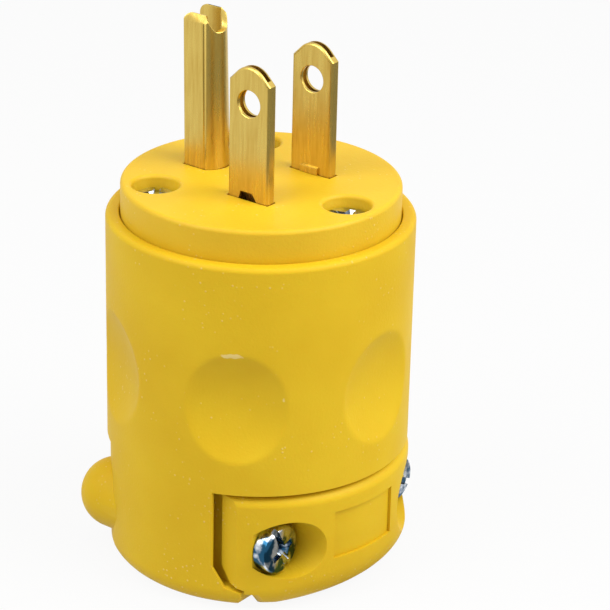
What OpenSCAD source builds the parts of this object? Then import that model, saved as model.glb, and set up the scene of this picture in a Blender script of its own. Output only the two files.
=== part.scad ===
// Rewirable straight-blade power plug with an external cord clamp.
// Lengths are in millimetres. The rear face rests on Z = 0, the plug's axis is Z,
// the blades point up and the cord clamp is on the +X side.

/* [Body] */
// Diameter of the body
body_d = 39.8; // [38:0.1:44]
// Height of the body's rim above the rear face
body_h = 47.8; // [46:0.1:56]
// Wall around the wiring chamber
chamber_wall = 3.1; // [2.6:0.1:3.4]
// Wall around the socket that holds the front face
socket_wall = 1.8; // [1.2:0.1:2.2]
// Depth of that socket below the rim
socket_depth = 7.8; // [6.5:0.1:9]
// Rounding of the rear edge
rear_round = 3; // [1.5:0.1:4]
// Rounding of the rim
rim_round = 0.7; // [0.3:0.1:0.8]
// Step between the body and its rear band, at the clamp and opposite it
band_step = 0.4; // [0.2:0.05:0.8]
// Depth of the opposite band, from the body's outside to its edges
band_depth = 9; // [7:0.1:11]

/* [Finger dimples] */
// Number of dimples around the body
dimple_count = 6; // [4:1:8]
// Height of their centres
dimple_z = 28.7; // [27:0.1:31]
// Height of each dimple's outline
dimple_h = 15; // [10:0.1:16]
// Depth of each dimple
dimple_depth = 1.7; // [0.8:0.1:1.8]
// Radius of each dimple in plan
dimple_plan_r = 35.4; // [30:0.1:60]

/* [Front face] */
// How far the face stands above the rim
face_proud = 4.2; // [3:0.1:6]
// Gap between the face and the socket around it
face_gap = 0.37; // [0.2:0.01:0.5]
// Thickness of the face's plate
face_plate = 6.8; // [6:0.1:8]
// Rounding of the face's edge
face_round = 0.6; // [0.3:0.1:1]
// Wall of the skirt below the plate
skirt_wall = 1.9; // [1.4:0.1:2]
// Room between the skirt and the ledge that it stands over
skirt_gap = 0.2; // [0.1:0.05:0.4]

/* [Terminal block] */
// Height of the block that carries the blades
block_h = 6.7; // [5:0.1:8]
// Gap between the block and the skirt around it
block_gap = 0.3; // [0.2:0.05:0.5]

/* [Blades] */
// Distance between the blades' centres
blade_spacing = 12.7; // [12.4:0.05:13]
// Width of a blade
blade_w = 6.35; // [6:0.05:6.6]
// Thickness of a blade
blade_t = 1.52; // [1.4:0.02:1.65]
// Distance of the blades' row from the axis
blade_x = 3.4; // [2.8:0.1:4]
// Length of a blade above the face
blade_len = 17.3; // [15.9:0.1:18.3]
// How far a blade's corners lie below its tip
blade_tip_drop = 2; // [1.8:0.1:2.4]
// Radius of the tip's crown
blade_crown_r = 2.8; // [2:0.1:2.9]
// Diameter of the hole in a blade
blade_hole_d = 3.5; // [3:0.1:4]
// Height of that hole above the face
blade_hole_h = 12.6; // [11.5:0.1:13]
// Gap between a blade's two layers
blade_fold_gap = 0.5; // [0.2:0.05:0.6]
// Thickness of the fold that joins the layers
blade_fold_wall = 0.6; // [0.4:0.05:1]
// Width of the locating bump at the foot of a blade
blade_bump_w = 2.5; // [1.5:0.1:3.5]
// Height of that bump above the face
blade_bump_h = 1; // [0.5:0.1:1.5]
// How far the bump stands out
blade_bump_out = 0.35; // [0.2:0.05:0.5]
// Width of the foot that holds a blade in the plug
foot_w = 9.2; // [8:0.1:10]
// Height of the foot
foot_h = 1.5; // [1:0.1:2]
// Clearance around blades and pin in the face and the block
blade_fit = 0.1; // [0.05:0.01:0.2]

/* [Ground pin] */
// Distance of the pin's middle from the blades' row
pin_offset = 11.9; // [11.6:0.1:12.2]
// Width of the pin across its two legs
pin_w = 4.75; // [4.5:0.05:5]
// Depth of the pin from the free ends of its legs to its round web
pin_depth = 5; // [4.8:0.05:5.5]
// Thickness of the pin's metal
pin_wall = 0.8; // [0.6:0.05:0.9]
// Length of the pin above the face
pin_len = 20.6; // [19:0.1:21.5]
// How far the web between the legs stops below the tip
pin_web_drop = 2.3; // [1.6:0.1:4]
// How far the web lies inside the legs' outer faces
pin_web_inset = 0.3; // [0.3:0.05:0.5]
// How far the legs reach past the middle of the web's curve
pin_leg_past = 0.5; // [0.3:0.1:0.8]
// How far each leg leans in at its top
pin_taper = 0.3; // [0:0.05:0.3]
// Rounding of the legs' tops at their free ends
pin_nose_round = 1.3; // [0.5:0.1:1.4]
// Rounding of the legs' tops beside the web
pin_front_round = 0.5; // [0.2:0.1:0.8]
// How far the pin reaches below the terminal block
pin_below = 1; // [0.5:0.1:2]

/* [Terminals] */
// Distance of the terminal screws below the terminal block
terminal_drop = 9; // [8.5:0.1:10.5]
// How far the terminal tabs reach below their screws
tab_below = 4.5; // [4:0.1:5]
// Thickness of the ground tab
ground_tab_t = 1.3; // [1:0.1:1.6]
// Shank diameter of the terminal screws
terminal_screw_d = 3.5; // [3:0.1:4]
// Head diameter of the terminal screws
terminal_head_d = 6.4; // [5.6:0.1:6.8]
// Head height of the terminal screws
terminal_head_h = 2; // [1.6:0.1:2.4]
// How far the terminal screws pass their tabs
terminal_screw_past = 1.4; // [0.8:0.1:1.8]
// Clearance of the terminal screws and the face screws in their holes
screw_fit = 0.1; // [0.05:0.01:0.2]
// Width of the plates that press on the wires
wire_plate_w = 7.4; // [6:0.1:8]
// Thickness of those plates
wire_plate_t = 1.2; // [0.8:0.1:1.5]

/* [Face screws] */
// Distance of the face screws' circle from the body's outside
face_screw_inset = 6.3; // [6.1:0.1:6.7]
// Angle of the two screws beside the ground pin
face_screw_angle = 131; // [126:1:136]
// Diameter of the holes in the face
face_hole_d = 6.1; // [5.9:0.1:6.4]
// Bevel of those holes
face_hole_bevel = 0.45; // [0.2:0.05:0.6]
// Depth of the screw heads' tops below the face
face_head_sink = 1.3; // [1:0.1:2.2]
// Head diameter of the face screws
face_head_d = 5.6; // [5:0.1:5.7]
// Head height of the face screws
face_head_h = 1.9; // [1.5:0.1:2.2]
// Shank diameter of the face screws
face_screw_d = 2.9; // [2.5:0.1:3.1]
// How far the face screws reach into the body's pillars
face_screw_bite = 13; // [9:0.1:14]
// Radius of the pillars
pillar_r = 3.2; // [3:0.1:3.6]
// Width of the ribs that join the pillars to the wall
pillar_rib = 3; // [2:0.1:4]

/* [Cord clamp] */
// Depth of the recess that holds the clamp, from the body's outside
recess_depth = 12.5; // [12.1:0.1:13.1]
// Height of the recess that holds the clamp
recess_h = 16.8; // [16:0.1:17.5]
// Thickness of the body above the recess
recess_roof = 2.4; // [2:0.1:2.5]
// Distance of the clamp's ends inside the body's width
clamp_end_inset = 3.7; // [3.2:0.1:4]
// How far the clamp's outer curve is set out from the body's axis
clamp_out = 0.7; // [0.2:0.1:0.9]
// Gap between the clamp and the recess
clamp_gap = 0.45; // [0.3:0.05:0.6]
// Height of the clamp above the rear face's plane
clamp_lift = 0.15; // [0.1:0.05:0.3]
// Rounding of the clamp's rear edge
clamp_rear_round = 5.5; // [4:0.1:6]
// Rounding of the clamp's other edges
clamp_edge_round = 1.4; // [0.8:0.1:1.8]
// Height of the lip that the clamp's ends reach over
lip_h = 2.6; // [2:0.1:3]
// Width of that lip beyond the parting face
lip_w = 3.3; // [2.6:0.1:3.6]
// Height where the recess begins to slant towards the lip
slant_z = 6.1; // [5.5:0.1:6.6]
// How far the slant leads outwards
slant_out = 1.47; // [1:0.01:2]
// Height of the slant's lower end above the lip
slant_low_h = 0.8; // [0.5:0.1:1.2]

/* [Cord passage] */
// Diameter of the largest cord that the passage takes
passage_d = 16; // [15:0.1:16.4]
// Width of the passage that the closed clamp leaves
closed_gap = 8; // [6:0.1:9]
// Clearance between the clamp's tongue and the passage
tongue_fit = 0.4; // [0.3:0.05:0.6]
// Radius of the saddle in the tongue
saddle_r = 6; // [5.5:0.1:7]
// Depth of the grooves between the saddle's ribs
saddle_groove = 0.7; // [0.4:0.1:1]
// Number of those grooves
saddle_grooves = 3; // [2:1:3]

/* [Clamp screws] */
// Distance of the clamp screws from the body's sides
clamp_screw_inset = 7.3; // [7.1:0.1:7.7]
// Height of the clamp screws
clamp_screw_z = 8.5; // [8:0.1:9]
// Distance of the heads' outer faces inside the body's outside
clamp_head_sink = 5.5; // [5.1:0.1:6.1]
// Head diameter
clamp_head_d = 6.6; // [6:0.1:7]
// Head height
clamp_head_h = 2.4; // [2:0.1:2.6]
// Shank diameter
clamp_screw_d = 3.5; // [3.2:0.1:3.8]
// How much of a boss covers a screw's tip
clamp_tip_cover = 5.5; // [4.5:0.1:6.5]
// Diameter of the pockets around the heads
pocket_d = 8; // [7.7:0.1:8.4]
// Diameter of the pockets' flared mouths, at the clamp's widest
pocket_mouth_d = 8.8; // [8.4:0.1:9.6]
// Depth of the flare below the heads' outer faces
pocket_flare = 0.8; // [0.4:0.1:1.2]
// Height of the pockets' middles above the screws
pocket_lift = 0.4; // [0:0.1:0.5]
// Clearance of the screws in the body and the clamp
screw_clearance = 0.3; // [0.2:0.05:0.4]
// Clearance of the screws in their nuts
nut_clearance = 0.1; // [0.05:0.01:0.15]
// Width of the square nuts
nut_w = 6.4; // [6:0.1:6.6]
// Thickness of the nuts
nut_t = 2.6; // [2:0.1:3]
// Distance of the nuts' near faces from the axis
nut_x = 1.2; // [0.5:0.1:2]
// Room around the nuts
nut_room = 0.1; // [0.05:0.05:0.15]
// Radius of the bosses that cover the screws' tips
boss_r = 4.8; // [4.6:0.1:5]
// Distance of the bosses' domes inside the body's outside
boss_inset = 6.1; // [5.7:0.1:6.7]
// How far the bosses' middles lie below the screws
boss_drop = 1.1; // [0.6:0.1:1.4]

/* [Label panel] */
// Width of the bare panel on the clamp
label_w = 10.4; // [9:0.1:11]
// Height of the panel
label_h = 6.7; // [6:0.1:7.2]
// Place of the panel's middle across the clamp
label_y = -2.3; // [-2.5:0.1:0]
// Height of the panel's middle
label_z = 10.1; // [9.8:0.05:10.4]
// Depth of the panel
label_depth = 0.4; // [0.2:0.05:0.6]

/* [Hidden] */
$fn = 96;
// Overshoot of cuts past the surfaces that they leave
past = 1;
// Screw heads: edge roundings and drive depth as shares of the head's height,
// reach of the drive's arms as a share of its diameter, their width as a share of the reach
head_low_share = 0.1;
head_top_share = 0.36;
drive_depth_share = 0.55;
drive_reach_share = 0.34;
drive_arm_share = 0.42;

body_r = body_d / 2;
socket_r = body_r - socket_wall;
chamber_r = body_r - chamber_wall;
ledge_z = body_h - socket_depth;
chamber_floor = recess_h + recess_roof;
band_r = body_r - band_step;
band_x = body_r - band_depth;

face_z = body_h + face_proud;
face_r = socket_r - face_gap;
plate_z = face_z - face_plate;
skirt_z = ledge_z + skirt_gap;
skirt_r = face_r - skirt_wall;
block_r = skirt_r - block_gap;
block_z = plate_z - block_h;

blade_y = blade_spacing / 2;
pin_x = blade_x - pin_offset;
pin_end_x = -pin_depth / 2;
pin_web_r = pin_w / 2 - pin_web_inset;
pin_web_x = pin_depth / 2 - pin_web_r;
pin_front_x = pin_web_x + pin_leg_past;
pin_tab_x = pin_depth / 2 - pin_wall - ground_tab_t;
pin_low_z = block_z - pin_below;
pin_tip_z = face_z + pin_len;
pin_web_z = pin_tip_z - pin_web_drop;
terminal_z = block_z - terminal_drop;
tab_z = terminal_z - tab_below;

face_screw_circle = body_r - face_screw_inset;
face_screw_angles = [0, -face_screw_angle, face_screw_angle];
face_seat_z = face_z - face_head_sink - face_head_h;

parting_x = body_r - recess_depth;
clamp_w = body_d - 2 * clamp_end_inset;
clamp_back_x = parting_x + clamp_gap;
clamp_top_z = recess_h - clamp_gap;
tongue_x = closed_gap - passage_d / 2;
tongue_w = passage_d - 2 * tongue_fit;
tongue_z = lip_h + clamp_gap;
saddle_x = tongue_x - saddle_r / 2;
clamp_screw_y = body_r - clamp_screw_inset;
clamp_head_x = body_r - clamp_head_sink;
clamp_seat_x = clamp_head_x - clamp_head_h;
boss_x = body_r - boss_inset;
clamp_tip_x = clamp_tip_cover - boss_x - boss_r;
clamp_screw_len = clamp_seat_x - clamp_tip_x;
slant_x = parting_x + slant_out;
slant_low_z = lip_h + slant_low_h;

yellow = "#e3bd2b";
brass = "#c6a24c";
steel = "#c3c7cb";
green = "#3f7d4a";

// Half-section of a disc with both outer edges rounded
module rounded_section(radius, height, low_round, high_round) {
    square([radius - max(low_round, high_round), height]);
    translate([0, low_round]) square([radius, height - low_round - high_round]);
    translate([radius - low_round, low_round]) circle(low_round);
    translate([radius - high_round, height - high_round]) circle(high_round);
    square([radius - low_round, height - high_round]);
    translate([0, low_round]) square([radius - high_round, height - low_round]);
}

module rounded_disc(radius, height, low_round, high_round) {
    rotate_extrude() rounded_section(radius, height, low_round, high_round);
}

// Cylinder along +X from a start point
module along_x(from, length, radius, end_radius) {
    translate(from) rotate([0, 90, 0]) cylinder(h = length, r1 = radius, r2 = end_radius);
}

// Screw with a pan head: the shank points down from Z = 0, the head stands on it
module pan_screw(shank_d, length, head_d, head_h) {
    drive_depth = head_h * drive_depth_share;
    difference() {
        union() {
            translate([0, 0, -length]) cylinder(h = length, d = shank_d);
            rounded_disc(head_d / 2, head_h, head_h * head_low_share, head_h * head_top_share);
        }
        translate([0, 0, head_h - drive_depth])
            cross_drive(head_d * drive_reach_share, drive_depth + past);
    }
}

// Cross-shaped hole for the driver
module cross_drive(reach, depth) {
    arm_w = reach * drive_arm_share;
    linear_extrude(depth) {
        square([2 * reach, arm_w], center = true);
        square([arm_w, 2 * reach], center = true);
    }
}

// Places at the clamp screws: side is -1 near the neutral blade, 1 near the hot blade
module at_clamp_screw(side) {
    translate([0, side * clamp_screw_y, clamp_screw_z]) children();
}

// Section of the recess for the clamp, in X and Z, grown by a gap on the body's side
module recess_section(gap) {
    polygon([
        [parting_x + gap, recess_h - gap],
        [parting_x + gap, slant_z],
        [slant_x + gap, slant_low_z + gap],
        [parting_x + lip_w + gap, lip_h + gap],
        [parting_x + lip_w + gap, -past],
        [body_d, -past],
        [body_d, recess_h - gap]
    ]);
}

module recess_space(gap) {
    translate([0, body_d, 0]) rotate([90, 0, 0]) linear_extrude(2 * body_d) recess_section(gap);
}

// One finger dimple: a ring's outer half, pressed into the body on the +X side
module dimple() {
    side_r = (dimple_h * dimple_h / 4 + dimple_depth * dimple_depth) / (2 * dimple_depth);
    side_x = dimple_plan_r - side_r;
    translate([body_r - dimple_depth + dimple_plan_r, 0, dimple_z])
        rotate_extrude() intersection() {
            translate([side_x, 0]) circle(side_r);
            translate([max(0, side_x), -side_r]) square(2 * side_r);
        }
}

// Band opposite the clamp, where the body is set in a little
module opposite_band() {
    difference() {
        translate([-body_d, -body_d, -past]) cube([body_d - band_x, 2 * body_d, recess_h + past]);
        translate([0, 0, -2 * past]) cylinder(h = recess_h + 3 * past, r = band_r);
    }
}

// Passage for the cord: round at the back, open towards the clamp
module passage() {
    translate([0, 0, -past]) linear_extrude(chamber_floor + 2 * past) {
        circle(d = passage_d);
        translate([0, -passage_d / 2]) square([body_d, passage_d]);
    }
}

// Passage above the recess, where the body closes around the cord again
module passage_above() {
    translate([0, 0, recess_h - past]) cylinder(h = recess_roof + 2 * past, d = passage_d);
}

module boss(side) {
    at_clamp_screw(side) {
        along_x([-boss_x, 0, -boss_drop], boss_x, boss_r, boss_r);
        translate([-boss_x, 0, -boss_drop]) sphere(boss_r);
    }
}

// Hole for a clamp screw, and the slot through which its nut goes in from the chamber
module clamp_screw_hole(side) {
    hole_r = clamp_screw_d / 2 + screw_clearance;
    slot_w = nut_w + 2 * nut_room;
    at_clamp_screw(side) {
        along_x([clamp_tip_x - past, 0, 0], body_d, hole_r, hole_r);
        translate([-nut_x - nut_t - nut_room, -slot_w / 2, -slot_w / 2])
            cube([nut_t + 2 * nut_room, slot_w, chamber_floor - clamp_screw_z + slot_w / 2 + past]);
    }
}

module at_face_screws(indices) {
    for (i = indices)
        rotate([0, 0, face_screw_angles[i]]) translate([face_screw_circle, 0, 0]) children();
}

module chamber() {
    difference() {
        translate([0, 0, chamber_floor]) cylinder(h = ledge_z - chamber_floor + past, r = chamber_r);
        at_face_screws([0, 1, 2]) translate([0, 0, chamber_floor - past]) {
            cylinder(h = block_z - chamber_floor + past, r = pillar_r);
            translate([0, -pillar_rib / 2, 0])
                cube([chamber_r, pillar_rib, block_z - chamber_floor + past]);
        }
    }
}

module body_shell() {
    color(yellow) difference() {
        union() {
            difference() {
                rounded_disc(body_r, body_h, rear_round, rim_round);
                opposite_band();
                for (i = [0 : dimple_count - 1]) rotate([0, 0, i * 360 / dimple_count]) dimple();
            }
            for (side = [-1, 1]) boss(side);
        }
        translate([0, 0, ledge_z]) cylinder(h = socket_depth + past, r = socket_r);
        chamber();
        recess_space(0);
        intersection() {
            passage();
            translate([-body_d, -body_d, -past]) cube([2 * body_d, 2 * body_d, recess_h + past]);
        }
        passage_above();
        for (side = [-1, 1]) clamp_screw_hole(side);
        at_face_screws([0, 1, 2]) translate([0, 0, block_z - face_screw_bite - past])
            cylinder(h = face_screw_bite + 2 * past, d = face_screw_d + 2 * screw_fit);
    }
}

// Plan of the ground pin: flat legs towards -X, joined by a round web towards +X
module pin_plan(grow) {
    translate([pin_web_x, 0]) circle(pin_web_r + grow);
    translate([pin_end_x - grow, -pin_w / 2 - grow])
        square([pin_front_x - pin_end_x + 2 * grow, pin_w + 2 * grow]);
}

// Slots for the blades and the pin, with the feet's pockets below the plate
module contact_slots(grow) {
    for (side = [-1, 1]) translate([blade_x, side * blade_y])
        square([blade_w + 2 * grow, blade_t + 2 * grow], center = true);
    translate([pin_x, 0]) pin_plan(grow);
}

module foot_pockets(grow) {
    for (side = [-1, 1]) translate([blade_x, side * blade_y])
        square([foot_w + 2 * grow, blade_t + 2 * grow], center = true);
    translate([pin_x + pin_end_x - grow, -foot_w / 2 - grow])
        square([pin_depth + 2 * grow, foot_w + 2 * grow]);
}

module front_face() {
    color(yellow) difference() {
        translate([0, 0, skirt_z])
            rounded_disc(face_r, face_z - skirt_z, face_round / 2, face_round);
        translate([0, 0, skirt_z - past]) cylinder(h = plate_z - skirt_z + past, r = skirt_r);
        translate([0, 0, plate_z - past]) linear_extrude(face_plate + 2 * past) contact_slots(blade_fit);
        translate([0, 0, plate_z - past]) linear_extrude(foot_h + blade_fit + past) foot_pockets(blade_fit);
        at_face_screws([0, 1, 2]) {
            translate([0, 0, face_seat_z]) cylinder(h = face_z - face_seat_z + past, d = face_hole_d);
            translate([0, 0, face_z - face_hole_bevel])
                cylinder(h = face_hole_bevel, d1 = face_hole_d, d2 = face_hole_d + 2 * face_hole_bevel);
            translate([0, 0, plate_z - past])
                cylinder(h = face_plate + past, d = face_screw_d + 2 * screw_fit);
        }
    }
}

module terminal_block() {
    color("#3a3a38") difference() {
        translate([0, 0, block_z]) cylinder(h = block_h, r = block_r);
        translate([0, 0, block_z - past]) linear_extrude(block_h + 2 * past) contact_slots(blade_fit);
        at_face_screws([0, 1, 2]) translate([0, 0, block_z - past])
            cylinder(h = block_h + 2 * past, d = face_screw_d + 2 * screw_fit);
    }
}

// Front view of a blade in X and Z, with its tip, foot and terminal tab
module blade_front() {
    half = blade_w / 2;
    tip_z = face_z + blade_len;
    crown_z = tip_z - blade_crown_r;
    corner_z = tip_z - blade_tip_drop;
    rise = crown_z - corner_z;
    slope = asin(blade_crown_r / norm([half, rise])) + atan2(rise, half);
    touch_x = blade_crown_r * sin(slope);
    touch_z = crown_z + blade_crown_r * cos(slope);
    polygon([
        [-half, tab_z], [half, tab_z], [half, corner_z],
        [touch_x, touch_z], [-touch_x, touch_z], [-half, corner_z]
    ]);
    translate([0, crown_z]) circle(blade_crown_r);
    translate([-foot_w / 2, plate_z]) square([foot_w, foot_h]);
}

// One blade, its outer side towards -Y: two layers folded at the +X edge
module blade() {
    slit_w = blade_w - blade_fold_wall + past;
    slit_z = plate_z + foot_h;
    bump_top = face_z + blade_bump_h;
    bump_low = slit_z - foot_h / 2;
    difference() {
        union() {
            rotate([90, 0, 0]) linear_extrude(blade_t, center = true) blade_front();
            translate([-blade_bump_w / 2, blade_t / 2 - past, face_z])
                cube([blade_bump_w, blade_bump_out + past, blade_bump_h]);
        }
        translate([-blade_w / 2 - past, -blade_fold_gap / 2, slit_z])
            cube([slit_w, blade_fold_gap, face_z + blade_len - slit_z + past]);
        translate([-blade_bump_w / 2, -blade_t / 2 - past, bump_low])
            cube([blade_bump_w, blade_bump_out + past, bump_top - bump_low]);
        translate([0, -blade_t, face_z + blade_hole_h])
            rotate([-90, 0, 0]) cylinder(h = 2 * blade_t, d = blade_hole_d);
        translate([0, -blade_t, terminal_z])
            rotate([-90, 0, 0]) cylinder(h = 2 * blade_t, d = terminal_screw_d + 2 * screw_fit);
    }
}

// Places for what belongs to one blade: side is -1 for neutral, 1 for hot
module at_blade(side) {
    translate([blade_x, side * blade_y, 0]) rotate([0, 0, side > 0 ? 180 : 0]) children();
}

module neutral_blade() {
    color(brass) at_blade(-1) blade();
}

module hot_blade() {
    color(brass) at_blade(1) blade();
}

// Side view of the ground pin's legs in X and Z, with rounded tops
module pin_side() {
    leg_len = pin_front_x - pin_end_x;
    leg_h = pin_tip_z - pin_low_z;
    translate([pin_end_x, pin_low_z]) square([pin_nose_round, leg_h - pin_nose_round]);
    translate([pin_end_x + pin_nose_round, pin_low_z])
        square([leg_len - pin_nose_round - pin_front_round, leg_h]);
    translate([pin_front_x - pin_front_round, pin_low_z])
        square([pin_front_round, leg_h - pin_front_round]);
    translate([pin_end_x + pin_nose_round, pin_tip_z - pin_nose_round]) circle(pin_nose_round);
    translate([pin_front_x - pin_front_round, pin_tip_z - pin_front_round]) circle(pin_front_round);
}

// Half width of the ground pin at a height: its legs lean in above the face
function pin_half(z) = pin_w / 2 - pin_taper * max(0, z - face_z) / pin_len;

// Front view of the ground pin in Y and Z between two heights, smaller by an inset on each side
module pin_front(low_z, high_z, inset) {
    heights = low_z < face_z ? [low_z, face_z, high_z] : [low_z, high_z];
    polygon(concat(
        [for (z = heights) [inset - pin_half(z), z]],
        [for (i = [len(heights) - 1:-1:0]) [pin_half(heights[i]) - inset, heights[i]]]
    ));
}

// A front view drawn out along X
module across_pin(start_x, end_x) {
    translate([start_x, 0, 0]) rotate([90, 0, 90]) linear_extrude(end_x - start_x) children();
}

// The pin's two legs, joined below the hollow
module pin_legs(hollow_z) {
    difference() {
        intersection() {
            rotate([90, 0, 0]) linear_extrude(2 * pin_w, center = true) pin_side();
            across_pin(-pin_depth, pin_depth) pin_front(pin_low_z, pin_tip_z, 0);
        }
        across_pin(-pin_depth, pin_depth) pin_front(hollow_z, pin_tip_z + past, pin_wall);
    }
}

// The round web between the legs, a half ring above the hollow's floor
module pin_web(hollow_z) {
    translate([pin_web_x, 0, 0]) difference() {
        translate([0, 0, pin_low_z]) cylinder(h = pin_web_z - pin_low_z, r = pin_web_r);
        translate([0, 0, hollow_z]) linear_extrude(pin_web_z - hollow_z + past) {
            circle(pin_web_r - pin_wall);
            translate([-pin_depth, -pin_w]) square([pin_depth, 2 * pin_w]);
        }
    }
}

module ground_pin() {
    tab_hole_r = terminal_screw_d / 2 + screw_fit;
    hollow_z = plate_z + foot_h;
    color(brass) translate([pin_x, 0, 0]) difference() {
        union() {
            pin_legs(hollow_z);
            pin_web(hollow_z);
            translate([pin_end_x, -foot_w / 2, plate_z]) cube([pin_depth, foot_w, foot_h]);
            translate([pin_tab_x, -blade_w / 2, tab_z])
                cube([ground_tab_t, blade_w, block_z - tab_z]);
        }
        along_x([-pin_depth, 0, terminal_z], 2 * pin_depth, tab_hole_r, tab_hole_r);
    }
}

// Terminal screw and wire plate, laid against a tab whose outer face is at Z = 0, tab below
module terminal_screw(tab_t) {
    translate([0, 0, wire_plate_t])
        pan_screw(terminal_screw_d, wire_plate_t + tab_t + terminal_screw_past, terminal_head_d,
            terminal_head_h);
}

module wire_plate() {
    difference() {
        translate([-wire_plate_w / 2, -wire_plate_w / 2, 0])
            cube([wire_plate_w, wire_plate_w, wire_plate_t]);
        translate([0, 0, -past])
            cylinder(h = wire_plate_t + 2 * past, d = terminal_screw_d + 2 * screw_fit);
    }
}

// Outer face of a blade's tab, or of the ground pin's tab
module at_blade_tab(side) {
    at_blade(side) translate([0, -blade_t / 2, terminal_z]) rotate([90, 0, 0]) children();
}

module at_ground_tab() {
    translate([pin_x + pin_tab_x, 0, terminal_z]) rotate([0, -90, 0]) children();
}

module neutral_terminal_screw() {
    color(steel) at_blade_tab(-1) terminal_screw(blade_t);
}

module hot_terminal_screw() {
    color(brass) at_blade_tab(1) terminal_screw(blade_t);
}

module ground_terminal_screw() {
    color(green) at_ground_tab() terminal_screw(ground_tab_t);
}

module neutral_wire_plate() {
    color(steel) at_blade_tab(-1) wire_plate();
}

module hot_wire_plate() {
    color(brass) at_blade_tab(1) wire_plate();
}

module ground_wire_plate() {
    color(steel) at_ground_tab() wire_plate();
}

module face_screw(index) {
    color(steel) at_face_screws([index]) translate([0, 0, face_seat_z])
        pan_screw(face_screw_d, face_seat_z - block_z + face_screw_bite, face_head_d, face_head_h);
}

module face_screw_front() {
    face_screw(0);
}

module face_screw_near() {
    face_screw(1);
}

module face_screw_far() {
    face_screw(2);
}

// Plan of the clamp, with its back corners rounded
module clamp_plan() {
    half = clamp_w / 2;
    intersection() {
        translate([clamp_out, 0]) circle(band_r);
        union() {
            translate([clamp_back_x + clamp_edge_round, -half]) square([body_d, clamp_w]);
            translate([clamp_back_x, -half + clamp_edge_round])
                square([body_d, clamp_w - 2 * clamp_edge_round]);
            for (side = [-1, 1])
                translate([clamp_back_x + clamp_edge_round, side * (half - clamp_edge_round)])
                    circle(clamp_edge_round);
        }
    }
}

// Tongue that presses the cord, with a ribbed saddle
module tongue() {
    height = clamp_top_z - tongue_z;
    groove_h = height / (2 * saddle_grooves + 1);
    difference() {
        translate([tongue_x, -tongue_w / 2, tongue_z])
            cube([clamp_back_x + past - tongue_x, tongue_w, height]);
        translate([saddle_x, 0, tongue_z - past]) cylinder(h = height + 2 * past, r = saddle_r);
        for (i = [0 : saddle_grooves - 1])
            translate([saddle_x, 0, tongue_z + (2 * i + 1) * groove_h])
                cylinder(h = groove_h, r = saddle_r + saddle_groove);
    }
}

// Pocket around a clamp screw's head, flared at its mouth, and the hole below it
module clamp_pocket(side) {
    flare_x = clamp_head_x - pocket_flare;
    hole_r = clamp_screw_d / 2 + screw_clearance;
    at_clamp_screw(side) {
        along_x([clamp_seat_x, 0, pocket_lift], body_r, pocket_d / 2, pocket_d / 2);
        along_x([flare_x, 0, pocket_lift], band_r - flare_x, pocket_d / 2, pocket_mouth_d / 2);
        along_x([-past, 0, 0], body_r, hole_r, hole_r);
    }
}

module label_panel() {
    difference() {
        translate([0, label_y - label_w / 2, label_z - label_h / 2]) cube([body_d, label_w, label_h]);
        translate([clamp_out, 0, 0]) cylinder(h = recess_h, r = band_r - label_depth);
    }
}

module cord_clamp() {
    color(yellow) difference() {
        union() {
            intersection() {
                translate([clamp_out, 0, clamp_lift])
                    rounded_disc(band_r, clamp_top_z - clamp_lift, clamp_rear_round, clamp_edge_round);
                linear_extrude(recess_h) clamp_plan();
                recess_space(clamp_gap);
            }
            tongue();
        }
        label_panel();
        for (side = [-1, 1]) clamp_pocket(side);
    }
}

module clamp_screw(side) {
    color(steel) at_clamp_screw(side) translate([clamp_seat_x, 0, 0]) rotate([0, 90, 0])
        pan_screw(clamp_screw_d, clamp_screw_len, clamp_head_d, clamp_head_h);
}

module clamp_screw_near() {
    clamp_screw(-1);
}

module clamp_screw_far() {
    clamp_screw(1);
}

module clamp_nut(side) {
    color(steel) at_clamp_screw(side) difference() {
        translate([-nut_x - nut_t, -nut_w / 2, -nut_w / 2]) cube([nut_t, nut_w, nut_w]);
        along_x([-nut_x - nut_t - past, 0, 0], nut_t + 2 * past,
            clamp_screw_d / 2 + nut_clearance, clamp_screw_d / 2 + nut_clearance);
    }
}

module clamp_nut_near() {
    clamp_nut(-1);
}

module clamp_nut_far() {
    clamp_nut(1);
}

body_shell();
front_face();
terminal_block();
neutral_blade();
hot_blade();
ground_pin();
neutral_terminal_screw();
hot_terminal_screw();
ground_terminal_screw();
neutral_wire_plate();
hot_wire_plate();
ground_wire_plate();
face_screw_front();
face_screw_near();
face_screw_far();
cord_clamp();
clamp_screw_near();
clamp_screw_far();
clamp_nut_near();
clamp_nut_far();
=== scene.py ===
"""Looks of a yellow rewirable power plug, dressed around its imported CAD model.

Pieces are modelled in millimetres in the CAD frame: the rear face is on Z = 0, the axis is Z,
the blades point up and the cord clamp is on the +X side. Finished meshes are scaled to metres.
"""

import math
from types import SimpleNamespace

import bmesh
import bpy
from mathutils import Matrix, Quaternion, Vector


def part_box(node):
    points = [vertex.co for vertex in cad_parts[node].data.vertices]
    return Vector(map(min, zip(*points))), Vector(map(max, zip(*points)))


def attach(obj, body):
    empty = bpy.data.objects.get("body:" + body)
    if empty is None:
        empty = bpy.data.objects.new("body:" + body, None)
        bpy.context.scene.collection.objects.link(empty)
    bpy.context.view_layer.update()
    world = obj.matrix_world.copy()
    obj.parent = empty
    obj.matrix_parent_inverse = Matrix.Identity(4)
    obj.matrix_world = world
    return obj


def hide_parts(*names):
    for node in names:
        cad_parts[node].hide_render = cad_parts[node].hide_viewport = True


bl_info = {
    "name": "Rewirable power plug",
    "version": (1, 0, 0),
    "blender": (4, 5, 0),
    "location": "View3D > Sidebar > Plug",
    "description": "Models and finishes a yellow plug with flat blades and a cord clamp",
    "category": "Object",
}

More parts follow.
